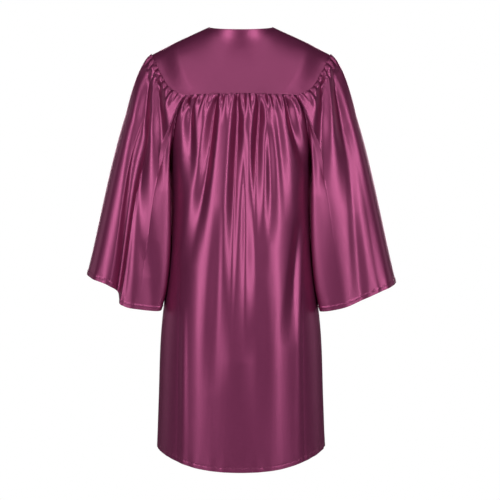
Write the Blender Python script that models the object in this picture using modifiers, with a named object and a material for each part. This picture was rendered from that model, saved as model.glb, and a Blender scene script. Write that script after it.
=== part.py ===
"""A child's graduation gown in satin, hollow, as it hangs from its wearer's shoulders.

The wearer faces -Y with the left hand at +X. The origin is the middle of the neck opening at the height
where the shoulder seams meet it. Heights are given as drops below the origin.
"""

from collections import namedtuple
import math

import bmesh
import bpy
import numpy as np

# Driving sizes, in metres
NECK_HALF_WIDTH = 0.0595
BACK_NECK_DROP = 0.0125
BACK_NECK_DEPTH = 0.047
V_NECK_DROP = 0.108
SHOULDER_HALF_WIDTH = 0.168
SHOULDER_DROP = 0.0525
BACK_SEAM_DROP = 0.1355
FRONT_SEAM_DROP = 0.130
UNDERARM_DROP = 0.252
SIDE_HEM_DROP = 0.7855
BACK_HEM_DIP = 0.0311
FRONT_HEM_DIP = 0.0275

# Cloth walls, the gaps at seams, and how near an edge the cloth stays flat
WALL = 0.0012
YOKE_WALL = 0.0020
SEAM_GAP = 0.0003
GATHERED_SEAM_GAP = 0.0011
YOKE_SIDE_GAP = 0.0003
SLEEVE_SEAM_GAP = 0.0008
ARMHOLE_GAP = 0.0005
FLAT_BESIDE_ZIP = 0.018
FLAT_ENDS = 0.08
HALF_CHANGE = 0.012
MERGE = 0.00001

# Gathers, and the columns of points that draw each one
BACK_GATHERS = 17
FRONT_GATHERS = 6
SLEEVE_BACK_GATHERS = 9
SLEEVE_FRONT_GATHERS = 6
COLUMNS_PER_GATHER = 4
GATHER_HEIGHT = 0.0020
GATHER_AT_SEAM = 0.55
GATHER_SWELL = 0.010
GATHER_REACH = 0.045
REACH_SPREAD = 0.45
REACH_TURN = 2.4

# The body's section is an ellipse with squared corners
SQUARENESS = 2.3
GIRTH_STEPS = 121

Section = namedtuple("Section", "drop half_width back_depth front_depth")
BODY = (
    Section(0.120, 0.1510, 0.0830, 0.0870),
    Section(0.160, 0.1470, 0.0888, 0.0905),
    Section(0.200, 0.1420, 0.0942, 0.0940),
    Section(0.252, 0.1362, 0.1000, 0.0980),
    Section(0.290, 0.1338, 0.1035, 0.1005),
    Section(0.340, 0.1325, 0.1075, 0.1038),
    Section(0.375, 0.1327, 0.1100, 0.1060),
    Section(0.457, 0.1375, 0.1140, 0.1110),
    Section(0.515, 0.1440, 0.1170, 0.1140),
    Section(0.560, 0.1487, 0.1190, 0.1160),
    Section(0.700, 0.1545, 0.1240, 0.1210),
    Section(0.820, 0.1585, 0.1280, 0.1250),
)

# Where the panels end, as angles in degrees from the wearer's side: positive to the back
Edge = namedtuple("Edge", "drop angle")
BACK_ARMHOLE = (
    Edge(0.1370, 49.9),
    Edge(0.1640, 39.6),
    Edge(0.1910, 33.5),
    Edge(0.2160, 27.0),
    Edge(0.2350, 18.5),
    Edge(0.2470, 9.0),
    Edge(0.2520, 0.0),
)
FRONT_ARMHOLE = (
    Edge(0.1300, -48.4),
    Edge(0.1600, -43.0),
    Edge(0.1900, -36.0),
    Edge(0.2160, -27.5),
    Edge(0.2350, -18.5),
    Edge(0.2470, -9.0),
    Edge(0.2520, 0.0),
)
SIDE_SEAM = (
    Edge(0.252, 0.0),
    Edge(0.300, 12.0),
    Edge(0.350, 22.0),
    Edge(0.450, 36.0),
    Edge(0.550, 43.0),
    Edge(0.680, 45.0),
    Edge(0.820, 45.5),
)

# A calmer edge that a panel's inner columns follow, so that the armhole's turn doesn't shear them
BACK_CALM = (
    Edge(0.1370, 49.9),
    Edge(0.1900, 37.5),
    Edge(0.2350, 28.5),
    Edge(0.2700, 23.5),
    Edge(0.3300, 21.5),
    Edge(0.3800, 27.0),
    Edge(0.4500, 36.0),
    Edge(0.5500, 43.0),
    Edge(0.6800, 45.0),
    Edge(0.8200, 45.5),
)
FRONT_CALM = (
    Edge(0.1300, -48.4),
    Edge(0.1900, -39.0),
    Edge(0.2350, -28.0),
    Edge(0.2700, -14.0),
    Edge(0.3300, 8.0),
    Edge(0.3800, 24.0),
    Edge(0.4500, 36.0),
    Edge(0.5500, 43.0),
    Edge(0.6800, 45.0),
    Edge(0.8200, 45.5),
)
CALM_POWER = 6

# The yokes' side edge, from the back corner over the shoulder tip to the front corner
Point = namedtuple("Point", "x y drop")
YOKE_SIDE = (
    Point(0.1023, 0.0668, 0.1370),
    Point(0.1270, 0.0540, 0.1265),
    Point(0.1500, 0.0330, 0.0930),
    Point(0.1635, 0.0145, 0.0630),
    Point(SHOULDER_HALF_WIDTH, 0.0000, SHOULDER_DROP),
    Point(0.1635, -0.0145, 0.0625),
    Point(0.1500, -0.0330, 0.0900),
    Point(0.1280, -0.0560, 0.1190),
    Point(0.1046, -0.0682, 0.1300),
)
YOKE_TIP_ROW = 4
V_NECK = (
    Point(NECK_HALF_WIDTH, 0.0000, 0.0000),
    Point(0.0520, -0.0330, 0.0260),
    Point(0.0330, -0.0660, 0.0640),
    Point(0.0028, -0.0860, V_NECK_DROP),
)
SMOOTHING_PASSES = 60

# The yokes' rounding over the back and over the shoulder, and the shares of their width it dies away in
BACK_CROWN = 0.006
SHOULDER_CROWN = 0.014
CROWN_LEAN = 0.55
CROWN_STARTS = 0.19
CROWN_GROWS = 0.62
CROWN_SIDE = 0.14
CROWN_FRONT_SIDE = 0.20
CROWN_NECK = 0.15
SHOULDER_SHARE = 0.30

# A fold is a soft ridge down the cloth, or a trough where its height is negative
Fold = namedtuple("Fold", "x_top x_middle x_tip top tip half_width height")
SEAM_FOLD_SWELL = 0.45
FREE_FOLD_SWELL = 0.8
SEAM_ZONE = 0.15
FOLD_WIDENING = 1.0
FOLD_SPREAD = 1.5
FOLD_CREST = 0.25
FOLD_FOOT = 0.25
BACK_FOLDS = (
    Fold(0.0950, 0.0940, 0.0910, 0.134, 0.310, 0.0065, -0.0055),
    Fold(0.0470, 0.0680, 0.0930, 0.134, 0.450, 0.0072, -0.0095),
    Fold(0.0360, 0.0420, 0.0460, 0.340, 0.680, 0.0090, -0.0048),
    Fold(0.0027, 0.0140, 0.0170, 0.134, 0.620, 0.0072, -0.0100),
    Fold(-0.0040, -0.0090, -0.0040, 0.200, 0.620, 0.0075, -0.0075),
    Fold(-0.0380, -0.0285, -0.0330, 0.134, 0.470, 0.0070, -0.0095),
    Fold(-0.0480, -0.0560, -0.0480, 0.190, 0.420, 0.0065, -0.0048),
    Fold(-0.0620, -0.0760, -0.0800, 0.150, 0.370, 0.0065, -0.0040),
    Fold(-0.0830, -0.1010, -0.1220, 0.134, 0.285, 0.0065, -0.0065),
    Fold(-0.1080, -0.0980, -0.0860, 0.360, 0.600, 0.0075, -0.0048),
    Fold(-0.0300, -0.0280, -0.0260, 0.430, 0.760, 0.0110, -0.0032),
    Fold(0.0780, 0.0770, 0.0820, 0.330, 1.100, 0.0140, 0.0070),
    Fold(-0.0680, -0.0680, -0.0750, 0.350, 1.100, 0.0140, 0.0070),
    Fold(0.1040, 0.1060, 0.1080, 0.520, 0.860, 0.0055, 0.0035),
    Fold(-0.1080, -0.1130, -0.1120, 0.480, 0.860, 0.0055, 0.0035),
)
FRONT_LEFT_FOLDS = (
    Fold(0.0930, 0.0960, 0.0980, 0.130, 0.340, 0.0065, -0.0048),
    Fold(0.0640, 0.0780, 0.0920, 0.130, 0.520, 0.0078, -0.0057),
    Fold(0.0400, 0.0440, 0.0560, 0.130, 0.640, 0.0078, -0.0055),
    Fold(0.0560, 0.0620, 0.0700, 0.220, 0.520, 0.0065, -0.0048),
    Fold(0.0720, 0.0740, 0.0780, 0.400, 1.100, 0.0165, 0.0060),
)
FRONT_RIGHT_FOLDS = (
    Fold(0.0900, 0.0980, 0.1040, 0.130, 0.320, 0.0065, -0.0048),
    Fold(0.0600, 0.0700, 0.0860, 0.130, 0.480, 0.0078, -0.0057),
    Fold(0.0380, 0.0400, 0.0460, 0.130, 0.680, 0.0075, -0.0055),
    Fold(0.0500, 0.0560, 0.0640, 0.250, 0.560, 0.0065, -0.0048),
    Fold(0.0660, 0.0700, 0.0740, 0.420, 1.100, 0.0165, 0.0060),
)

# Sleeves: how each line of cloth leaves the armhole and arrives at the cuff
YOKE_CORNER_SHARE = 0.2
Leaving = namedtuple("Leaving", "share x y drop")
ARMHOLE_LEAVING = (
    Leaving(0.00, 0.080, 0.000, 0.16),
    Leaving(0.10, 0.040, 0.020, 0.17),
    Leaving(0.20, 0.150, 0.020, 0.20),
    Leaving(0.35, 0.175, 0.060, 0.26),
    Leaving(0.43, 0.190, 0.055, 0.30),
    Leaving(0.50, 0.195, 0.000, 0.33),
    Leaving(0.57, 0.190, -0.055, 0.30),
    Leaving(0.65, 0.175, -0.060, 0.26),
    Leaving(0.80, 0.145, -0.020, 0.20),
    Leaving(0.90, 0.040, -0.020, 0.17),
    Leaving(1.00, 0.080, 0.000, 0.16),
)
CUFF_ARRIVING = (
    Leaving(0.00, 0.085, 0.000, 0.25),
    Leaving(0.09, 0.092, -0.004, 0.30),
    Leaving(0.20, 0.055, -0.010, 0.36),
    Leaving(0.50, 0.100, 0.000, 0.40),
    Leaving(0.80, 0.050, 0.010, 0.36),
    Leaving(0.92, 0.075, 0.000, 0.30),
    Leaving(1.00, 0.085, 0.000, 0.25),
)
LEFT_CUFF = (
    Leaving(0.000, 0.151, 0.000, 0.517),
    Leaving(0.040, 0.148, 0.026, 0.524),
    Leaving(0.100, 0.147, 0.046, 0.532),
    Leaving(0.200, 0.188, 0.060, 0.529),
    Leaving(0.270, 0.215, 0.062, 0.523),
    Leaving(0.300, 0.224, 0.058, 0.517),
    Leaving(0.325, 0.227, 0.040, 0.500),
    Leaving(0.370, 0.244, 0.047, 0.486),
    Leaving(0.440, 0.274, 0.036, 0.474),
    Leaving(0.500, 0.289, 0.000, 0.465),
    Leaving(0.560, 0.274, -0.034, 0.468),
    Leaving(0.700, 0.225, -0.052, 0.481),
    Leaving(0.800, 0.192, -0.055, 0.493),
    Leaving(0.880, 0.163, -0.053, 0.503),
    Leaving(0.940, 0.151, -0.041, 0.510),
    Leaving(0.975, 0.150, -0.022, 0.514),
    Leaving(1.000, 0.151, 0.000, 0.517),
)
RIGHT_CUFF = (
    Leaving(0.000, 0.152, 0.000, 0.520),
    Leaving(0.040, 0.149, 0.026, 0.527),
    Leaving(0.100, 0.148, 0.046, 0.533),
    Leaving(0.200, 0.187, 0.059, 0.527),
    Leaving(0.300, 0.222, 0.053, 0.513),
    Leaving(0.400, 0.256, 0.046, 0.498),
    Leaving(0.460, 0.281, 0.031, 0.487),
    Leaving(0.500, 0.291, 0.000, 0.480),
    Leaving(0.560, 0.275, -0.034, 0.481),
    Leaving(0.700, 0.227, -0.052, 0.489),
    Leaving(0.800, 0.193, -0.055, 0.498),
    Leaving(0.880, 0.163, -0.053, 0.507),
    Leaving(0.940, 0.152, -0.041, 0.513),
    Leaving(0.975, 0.151, -0.022, 0.517),
    Leaving(1.000, 0.152, 0.000, 0.520),
)
SLEEVE_HEAD_PUFF = 0.006
SLEEVE_HEAD_REACH = 0.30
SLEEVE_HEAD_SWELL = 0.55
SLEEVE_HEAD_ENDS = 0.15
CLEAR_OF_SEAM = 0.04
LEFT_SLEEVE_FOLDS = (
    Fold(0.1980, 0.2110, 0.2260, 0.170, 0.640, 0.0070, -0.0048),
    Fold(0.1700, 0.1870, 0.1760, 0.085, 0.470, 0.0095, -0.0095),
    Fold(0.1540, 0.1480, 0.1360, 0.095, 0.310, 0.0075, -0.0080),
    Fold(0.1680, 0.1620, 0.1600, 0.400, 0.700, 0.0120, -0.0040),
)
RIGHT_SLEEVE_FOLDS = (
    Fold(0.1720, 0.1960, 0.2080, 0.085, 0.350, 0.0100, -0.0095),
    Fold(0.1520, 0.1500, 0.1380, 0.090, 0.320, 0.0078, -0.0080),
    Fold(0.2020, 0.2150, 0.2300, 0.260, 0.620, 0.0070, -0.0032),
)
SLEEVE_FRONT_FOLDS = (
    Fold(0.1640, 0.1760, 0.1840, 0.095, 0.400, 0.0090, -0.0055),
    Fold(0.1900, 0.2040, 0.2200, 0.190, 0.620, 0.0065, -0.0040),
    Fold(0.1500, 0.1470, 0.1400, 0.095, 0.310, 0.0070, -0.0050),
)

# Rows of points down the cloth, as shares of its length above and below the underarm
ROWS_TO_UNDERARM = (0.0, 0.08, 0.19, 0.34, 0.54, 0.75, 0.91, 1.0)
ROWS_TO_HEM = (0.06, 0.13, 0.21, 0.30, 0.41, 0.54, 0.68, 0.83, 1.0)
SLEEVE_ROWS = (0.0, 0.025, 0.06, 0.11, 0.19, 0.30, 0.44, 0.61, 0.80, 1.0)
YOKE_ROWS = 10
V_NECK_ROWS = 8
YOKE_COLUMNS = 20
FRONT_YOKE_COLUMNS = 8
FRONT_SIDE_COLUMNS = 7
FRONT_GATHERED_SHARE = 0.70
SLEEVE_LENGTH = 0.42

# Zip
CHAIN_HALF_WIDTH = 0.0025
CHAIN_PROUD = 0.0004
CHAIN_WALL = 0.0016
TAPE_HALF_WIDTH = 0.013
TAPE_WALL = 0.0010
ZIP_ROWS = 18
ZIP_BELOW_EDGE = 0.002
ZIP_ABOVE_HEM = 0.001
SLIDER_DROP = 0.121
SLIDER_SIZE = (0.0090, 0.0018, 0.0110)
SLIDER_BEVEL = 0.0005
BRIDGE_HALF_LENGTH = 0.0032
BRIDGE_HEIGHT = 0.0040
BRIDGE_WIRE = 0.0007
BRIDGE_ROUNDNESS = 0.6
BRIDGE_STEPS = 8
PIVOT_CLEARANCE = 0.0013
PULL_SIZE = (0.0052, 0.0012, 0.0210)
PULL_BEVEL = 0.0003
PULL_BAR = 0.0014
PULL_EYE = (0.0026, 0.0040)

# Colours
SATIN = (0.24, 0.030, 0.095, 1.0)
ZIP_CLOTH = (0.12, 0.012, 0.045, 1.0)
ZIP_METAL = (0.30, 0.05, 0.12, 1.0)


def smooth_curve(stations, values, at):
    """Values on a smooth curve through the rows of a table."""
    stations = np.asarray(stations, float)
    values = np.asarray(values, float)
    slopes = np.gradient(values, stations)
    at = np.clip(at, stations[0], stations[-1])
    i = np.clip(np.searchsorted(stations, at, side="right") - 1, 0, len(stations) - 2)
    span = stations[i + 1] - stations[i]
    t = (at - stations[i]) / span
    start = values[i] * (2 * t**3 - 3 * t**2 + 1) + slopes[i] * span * (t**3 - 2 * t**2 + t)
    return start + values[i + 1] * (3 * t**2 - 2 * t**3) + slopes[i + 1] * span * (t**3 - t**2)


def read(table, name, at):
    """One column of a table at places along its first column."""
    stations = [row[0] for row in table]
    return smooth_curve(stations, [getattr(row, name) for row in table], at)


def ease(t):
    """From 0 to 1 with no corner at either end."""
    t = np.clip(t, 0, 1)
    return t * t * (3 - 2 * t)


def body_section(drop, angle):
    """Points of the unfolded body at drops and angles from the left side."""
    half_width = read(BODY, "half_width", drop)
    back, front = read(BODY, "back_depth", drop), read(BODY, "front_depth", drop)
    side, depth = np.cos(angle), np.sin(angle)
    power = 2 / SQUARENESS
    x = half_width * np.sign(side) * np.abs(side) ** power
    y = np.where(depth > 0, back, front) * np.sign(depth) * np.abs(depth) ** power
    return np.stack(np.broadcast_arrays(x, y, -np.asarray(drop, float)), axis=-1)


def side_angle(armhole, drop):
    """The angle at which a panel ends: at its armhole, and below that at the side seam."""
    angle = np.where(drop < UNDERARM_DROP, read(armhole, "angle", drop), read(SIDE_SEAM, "angle", drop))
    return np.radians(angle)


def angles_round(drop, start, end, shares):
    """Angles that share out the girth between two angles evenly by length."""
    angles = np.linspace(start, end, GIRTH_STEPS)
    points = body_section(np.full(GIRTH_STEPS, drop), angles)
    steps = np.linalg.norm(np.diff(points, axis=0), axis=1)
    length = np.concatenate([[0], np.cumsum(steps)])
    return np.interp(np.asarray(shares) * length[-1], length, angles)


def hem_drop(angle):
    """The hem dips towards the middle of the back and of the front."""
    dip = np.where(np.sin(angle) > 0, BACK_HEM_DIP, FRONT_HEM_DIP)
    return SIDE_HEM_DROP + dip * np.sin(angle) ** 2


def fold_relief(folds, x, drop):
    """How far the folds of a table stand out of the cloth."""
    relief = np.zeros_like(x)
    for fold in folds:
        along = np.clip((drop - fold.top) / (fold.tip - fold.top), 0, 1)
        centre = (
            fold.x_top * (1 - along) * (1 - 2 * along)
            + fold.x_middle * 4 * along * (1 - along)
            + fold.x_tip * along * (2 * along - 1)
        )
        across = (x - centre) / (FOLD_SPREAD * fold.half_width * (1 + FOLD_WIDENING * along))
        swell = SEAM_FOLD_SWELL if fold.top < SEAM_ZONE else FREE_FOLD_SWELL
        rise = 1 - np.sqrt(across**2 + FOLD_CREST**2)
        profile = (rise + np.sqrt(rise**2 + FOLD_FOOT**2)) / 2
        relief += fold.height * np.sin(math.pi * along**swell) * profile
    return relief


def gather_relief(shares, count, distance):
    """Small gathers that die away below the seam, some sooner than others."""
    index = np.floor(shares * count)
    reach = GATHER_REACH * (1 + REACH_SPREAD * np.sin(REACH_TURN * index))
    swell = GATHER_AT_SEAM + (1 - GATHER_AT_SEAM) * ease(distance / GATHER_SWELL)
    fade = swell * (1 - ease(distance / reach))
    ends = ease(np.minimum(shares, 1 - shares) * count)
    return GATHER_HEIGHT * (1 - np.cos(2 * math.pi * count * shares)) * fade * ends


def outward(points, closed=False):
    """Which way is out of the cloth at each point of a grid."""
    if closed:
        wrapped = np.concatenate([points[:, -2:-1], points, points[:, 1:2]], axis=1)
        across = np.gradient(wrapped, axis=1)[:, 1:-1]
    else:
        across = np.gradient(points, axis=1)
    normal = np.cross(np.gradient(points, axis=0), across)
    return normal / np.linalg.norm(normal, axis=2, keepdims=True)


def draw_in(points, top=0.0, bottom=0.0, left=0.0, right=0.0):
    """Moves the edges of a grid in along the cloth, which leaves a gap at each seam."""
    drawn = points.copy()
    for gap, edge, inner in ((top, 0, 1), (bottom, -1, -2)):
        step = points[inner] - points[edge]
        drawn[edge] += gap * step / np.linalg.norm(step, axis=-1, keepdims=True)
    for gap, edge, inner in ((left, 0, 1), (right, -1, -2)):
        step = drawn[:, inner] - drawn[:, edge]
        drawn[:, edge] += gap * step / np.linalg.norm(step, axis=-1, keepdims=True)
    return drawn


def evenly(count, first=0.0, last=1.0):
    return first + (last - first) * np.arange(count + 1) / count


def panel_heights(armhole):
    """Drops of a panel's rows at its side edge."""
    corner = armhole[0].drop
    side_hem = hem_drop(side_angle(armhole, SIDE_HEM_DROP))
    heights = [corner + share * (UNDERARM_DROP - corner) for share in ROWS_TO_UNDERARM]
    return heights + [UNDERARM_DROP + share * (side_hem - UNDERARM_DROP) for share in ROWS_TO_HEM]


def side_gap(armhole):
    """How far a panel's side edge keeps back at each row, further beside the armhole, where cloth turns."""
    heights = np.array(panel_heights(armhole))
    return np.where(heights <= UNDERARM_DROP, ARMHOLE_GAP, SEAM_GAP / 2)[:, None]


def panel_row(armhole, seam_drop, limits, height, shares):
    """One row of a panel of the body before its folds, level at its side edge."""
    corner = armhole[0].drop
    side_hem = hem_drop(side_angle(armhole, SIDE_HEM_DROP))
    down = (height - corner) / (side_hem - corner)
    edge = side_angle(armhole, height)
    first, last = limits(height, calm=True)
    shift_first, shift_last = np.subtract(limits(height), (first, last))
    angles = angles_round(height, first, last, shares)
    angles += shift_first * (1 - shares) ** CALM_POWER + shift_last * shares**CALM_POWER
    inward = (np.sin(angles) ** 2 - np.sin(edge) ** 2) / np.cos(edge) ** 2
    rise = (seam_drop - corner) * inward * (1 - down)
    dip = (hem_drop(angles) - hem_drop(edge)) * down
    return body_section(height + rise + dip, angles)


def back_limits(height, calm=False):
    edge = np.radians(read(BACK_CALM, "angle", height)) if calm else side_angle(BACK_ARMHOLE, height)
    return edge, math.pi - edge


def front_limits(height, calm=False):
    """From the straight edge beside the zip round to the side."""
    gap = CHAIN_HALF_WIDTH + SEAM_GAP
    beside_zip = (gap / read(BODY, "half_width", height)) ** (SQUARENESS / 2)
    edge = np.radians(read(FRONT_CALM, "angle", height)) if calm else side_angle(FRONT_ARMHOLE, height)
    return beside_zip - math.pi / 2, edge


def back_row(height, shares):
    return panel_row(BACK_ARMHOLE, BACK_SEAM_DROP, back_limits, height, shares)


def front_row(height, shares):
    return panel_row(FRONT_ARMHOLE, FRONT_SEAM_DROP, front_limits, height, shares)


def back_panel():
    shares = evenly(BACK_GATHERS * COLUMNS_PER_GATHER)
    points = np.array([back_row(height, shares) for height in panel_heights(BACK_ARMHOLE)])
    drop = -points[..., 2]
    relief = gather_relief(shares, BACK_GATHERS, drop - drop[0])
    inside_ends = ease(np.minimum(shares, 1 - shares) / FLAT_ENDS)
    relief += fold_relief(BACK_FOLDS, points[..., 0], drop) * inside_ends
    points += outward(points) * relief[..., None]
    gap = side_gap(BACK_ARMHOLE)
    return draw_in(points, top=GATHERED_SEAM_GAP / 2, left=gap, right=gap)


def front_panel(folds):
    """The left front, from the zip round to the side seam. Its side stretch under the arm isn't gathered."""
    gathered = evenly(FRONT_GATHERS * COLUMNS_PER_GATHER, 0, FRONT_GATHERED_SHARE)
    plain = evenly(FRONT_SIDE_COLUMNS, FRONT_GATHERED_SHARE)[1:]
    shares = np.concatenate([gathered, plain])
    points = np.array([front_row(height, shares) for height in panel_heights(FRONT_ARMHOLE)])
    drop = -points[..., 2]
    along_seam = np.minimum(shares / FRONT_GATHERED_SHARE, 1)
    relief = gather_relief(along_seam, FRONT_GATHERS, drop - drop[0])
    in_front = ease(-points[..., 1] / HALF_CHANGE)
    relief += fold_relief(folds, points[..., 0], drop) * in_front
    past_zip = ease((points[..., 0] - CHAIN_HALF_WIDTH) / FLAT_BESIDE_ZIP)
    inside_side = ease((1 - shares) / FLAT_ENDS)
    points += outward(points) * (relief * past_zip * inside_side)[..., None]
    return draw_in(points, top=GATHERED_SEAM_GAP / 2, right=side_gap(FRONT_ARMHOLE))


def yoke_side(share):
    """The yokes' side edge, from the back corner at 0 over the shoulder tip to the front corner at 1."""
    rows = np.array(YOKE_SIDE)
    length = np.concatenate([[0], np.cumsum(np.linalg.norm(np.diff(rows, axis=0), axis=1))])
    tip = length[YOKE_TIP_ROW]
    at = np.where(share < 0.5, 2 * share * tip, tip + (2 * share - 1) * (length[-1] - tip))
    x, y, drop = (smooth_curve(length, rows[:, i], at) for i in range(3))
    return np.stack([x, y, -drop], axis=-1)


def patch(top, bottom, first, last):
    """A smooth surface between four edges: top and bottom run across, first and last run down."""
    u = evenly(len(top) - 1)[None, :, None]
    v = evenly(len(first) - 1)[:, None, None]
    corners = (1 - v) * ((1 - u) * top[0] + u * top[-1]) + v * ((1 - u) * bottom[0] + u * bottom[-1])
    points = (1 - v) * top[None] + v * bottom[None]
    points += (1 - u) * first[:, None] + u * last[:, None] - corners
    for _ in range(SMOOTHING_PASSES):
        around = points[:-2, 1:-1] + points[2:, 1:-1] + points[1:-1, :-2] + points[1:-1, 2:]
        points[1:-1, 1:-1] = around / 4
    return points


def crowned(points, ends, height):
    """Rounds a yoke over the shoulder and the back. Its edges stay where they are."""
    v = evenly(len(points) - 1)[:, None, None]
    rise = height[None, :, None] * ends[None, :, None] * np.sin(math.pi * v**CROWN_LEAN)
    return points + outward(points) * rise


def shoulder_line(share):
    """From the neck's corner at 0 to the shoulder tip at 1."""
    share = np.asarray(share)[:, None]
    neck, tip = np.array([NECK_HALF_WIDTH, 0, 0]), yoke_side(np.array([0.5]))[0]
    return neck + (tip - neck) * share


def back_yoke():
    u = evenly(YOKE_COLUMNS)
    shoulder_columns = round(YOKE_COLUMNS * SHOULDER_SHARE)
    shoulder = shoulder_line(evenly(shoulder_columns, 1, 0))
    turn = evenly(YOKE_COLUMNS - 2 * shoulder_columns, 0, math.pi)[1:-1]
    neck_half = np.array([NECK_HALF_WIDTH, BACK_NECK_DEPTH, -BACK_NECK_DROP])
    neck = neck_half * np.stack([np.cos(turn), np.sin(turn), np.sin(turn)], axis=-1)
    other_side = np.array([-1, 1, 1])
    top = np.concatenate([shoulder, neck, shoulder[::-1] * other_side])
    bottom = back_row(BACK_ARMHOLE[0].drop, u)
    side = yoke_side(evenly(YOKE_ROWS, 0.5, 0))
    past_neck = ease((np.abs(2 * u - 1) - CROWN_STARTS) / CROWN_GROWS)
    height = BACK_CROWN + (SHOULDER_CROWN - BACK_CROWN) * past_neck
    ends = ease(np.minimum(u, 1 - u) / CROWN_SIDE)
    points = crowned(patch(top, bottom, side, side * other_side), ends, height)
    return draw_in(points, bottom=GATHERED_SEAM_GAP / 2, left=YOKE_SIDE_GAP, right=YOKE_SIDE_GAP)


def front_yoke():
    """The left front yoke, from the V neck and the zip out to its side edge."""
    u = evenly(FRONT_YOKE_COLUMNS)
    rows = np.array(V_NECK)
    v = evenly(V_NECK_ROWS, 0, len(rows) - 1)
    x, y, drop = (smooth_curve(np.arange(len(rows)), rows[:, i], v) for i in range(3))
    neck = np.stack([x, y, -drop], axis=-1)
    bottom = front_row(FRONT_ARMHOLE[0].drop, u)
    beside_zip = neck[-1] + (bottom[0] - neck[-1]) * evenly(YOKE_ROWS - V_NECK_ROWS)[1:, None]
    side = yoke_side(evenly(YOKE_ROWS, 0.5, 1))
    points = patch(shoulder_line(u), bottom, np.concatenate([neck, beside_zip]), side)
    ends = ease((1 - u) / CROWN_FRONT_SIDE) * ease(u / CROWN_NECK)
    height = BACK_CROWN + (SHOULDER_CROWN - BACK_CROWN) * ease(u * 2)
    points = crowned(points, ends, height)
    return draw_in(points, bottom=GATHERED_SEAM_GAP / 2, right=YOKE_SIDE_GAP)


def armhole_edge(armhole):
    """The plain edge of a panel from its yoke's corner down to the underarm, at the panel's own rows."""
    heights = np.array(panel_heights(armhole)[: len(ROWS_TO_UNDERARM)])
    points = body_section(heights, side_angle(armhole, heights))
    length = np.concatenate([[0], np.cumsum(np.linalg.norm(np.diff(points, axis=0), axis=1))])
    return points, length / length[-1]


def vectors(table, shares):
    x, y, drop = (read(table, name, shares) for name in ("x", "y", "drop"))
    return np.stack([x, y, -drop], axis=-1)


def sleeve(cuff, folds):
    """The left sleeve, round from the underarm by the back and the shoulder tip to the front."""
    back_edge, back_length = armhole_edge(BACK_ARMHOLE)
    front_edge, front_length = armhole_edge(FRONT_ARMHOLE)
    back_side = evenly(SLEEVE_BACK_GATHERS * COLUMNS_PER_GATHER, 0, 0.5)[1:]
    front_side = evenly(SLEEVE_FRONT_GATHERS * COLUMNS_PER_GATHER, 0.5)[1:]
    side = np.concatenate([back_side, front_side])
    armhole = np.concatenate([back_edge[::-1], yoke_side(side), front_edge[1:]])
    plain = YOKE_CORNER_SHARE
    under_back = plain * (1 - back_length[::-1])
    under_front = 1 - plain * (1 - front_length[1:])
    shares = np.concatenate([under_back, plain + (1 - 2 * plain) * side, under_front])
    v = np.array(SLEEVE_ROWS)[:, None]
    near, far = (2 * v**3 - 3 * v**2 + 1)[..., None], (3 * v**2 - 2 * v**3)[..., None]
    leaving, arriving = (v**3 - 2 * v**2 + v)[..., None], (v**3 - v**2)[..., None]
    points = near * armhole + leaving * vectors(ARMHOLE_LEAVING, shares)
    points += far * vectors(cuff, shares) + arriving * vectors(CUFF_ARRIVING, shares)
    along_yoke = np.clip((shares - plain) / (1 - 2 * plain), 0, 1)
    puff = SLEEVE_HEAD_PUFF * np.sin(math.pi * np.clip(v / SLEEVE_HEAD_REACH, 0, 1) ** SLEEVE_HEAD_SWELL)
    relief = puff * ease(np.minimum(along_yoke, 1 - along_yoke) / SLEEVE_HEAD_ENDS)
    down = v * SLEEVE_LENGTH
    back_share = np.minimum(along_yoke * 2, 1)
    front_share = np.maximum(along_yoke * 2 - 1, 0)
    relief += gather_relief(back_share, SLEEVE_BACK_GATHERS, down)
    relief += gather_relief(front_share, SLEEVE_FRONT_GATHERS, down)
    x, y, drop = points[..., 0], points[..., 1], -points[..., 2]
    clear_of_seam = ease(v / CLEAR_OF_SEAM)
    relief += fold_relief(folds, x, drop) * ease(y / HALF_CHANGE) * clear_of_seam
    relief += fold_relief(SLEEVE_FRONT_FOLDS, x, drop) * ease(-y / HALF_CHANGE) * clear_of_seam
    points -= outward(points, closed=True) * relief[..., None]
    return draw_in(points, top=SLEEVE_SEAM_GAP)


def zip_strip(half_width, first_drop, last_drop, inset, columns):
    """A strip down the middle of the front, inset from the outside of the cloth."""
    x = evenly(columns, -half_width, half_width)
    drop = evenly(ZIP_ROWS, first_drop, last_drop)[:, None]
    y = inset - read(BODY, "front_depth", drop)
    return np.stack(np.broadcast_arrays(x, y, -drop), axis=-1)


def satin_material(name, colour, roughness, metallic):
    material = bpy.data.materials.new(name)
    material.use_nodes = True
    shader = material.node_tree.nodes["Principled BSDF"]
    shader.inputs["Base Color"].default_value = colour
    shader.inputs["Roughness"].default_value = roughness
    shader.inputs["Metallic"].default_value = metallic
    material.diffuse_color = colour
    return material


def add_object(name, mesh, material):
    for polygon in mesh.polygons:
        polygon.use_smooth = True
    mesh.set_sharp_from_angle(angle=math.radians(50))
    mesh.materials.append(material)
    part = bpy.data.objects.new(name, mesh)
    gown.objects.link(part)
    return part


def cloth(name, points, wall, material, closed=False):
    """A grid shaped to its points, with a wall that goes inward from them."""
    rows, columns = points.shape[0] - 1, points.shape[1] - 1
    shape = bmesh.new()
    bmesh.ops.create_grid(shape, x_segments=columns, y_segments=rows, size=0.5)
    for vertex in shape.verts:
        column, row = round((vertex.co.x + 0.5) * columns), round((0.5 - vertex.co.y) * rows)
        vertex.co = points[row, column]
    if closed:
        bmesh.ops.remove_doubles(shape, verts=shape.verts, dist=MERGE)
    mesh = bpy.data.meshes.new(name)
    shape.to_mesh(mesh)
    shape.free()
    part = add_object(name, mesh, material)
    solid = part.modifiers.new("Wall", "SOLIDIFY")
    solid.thickness = wall
    solid.offset = -1
    solid.use_even_offset = True
    return part


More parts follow.
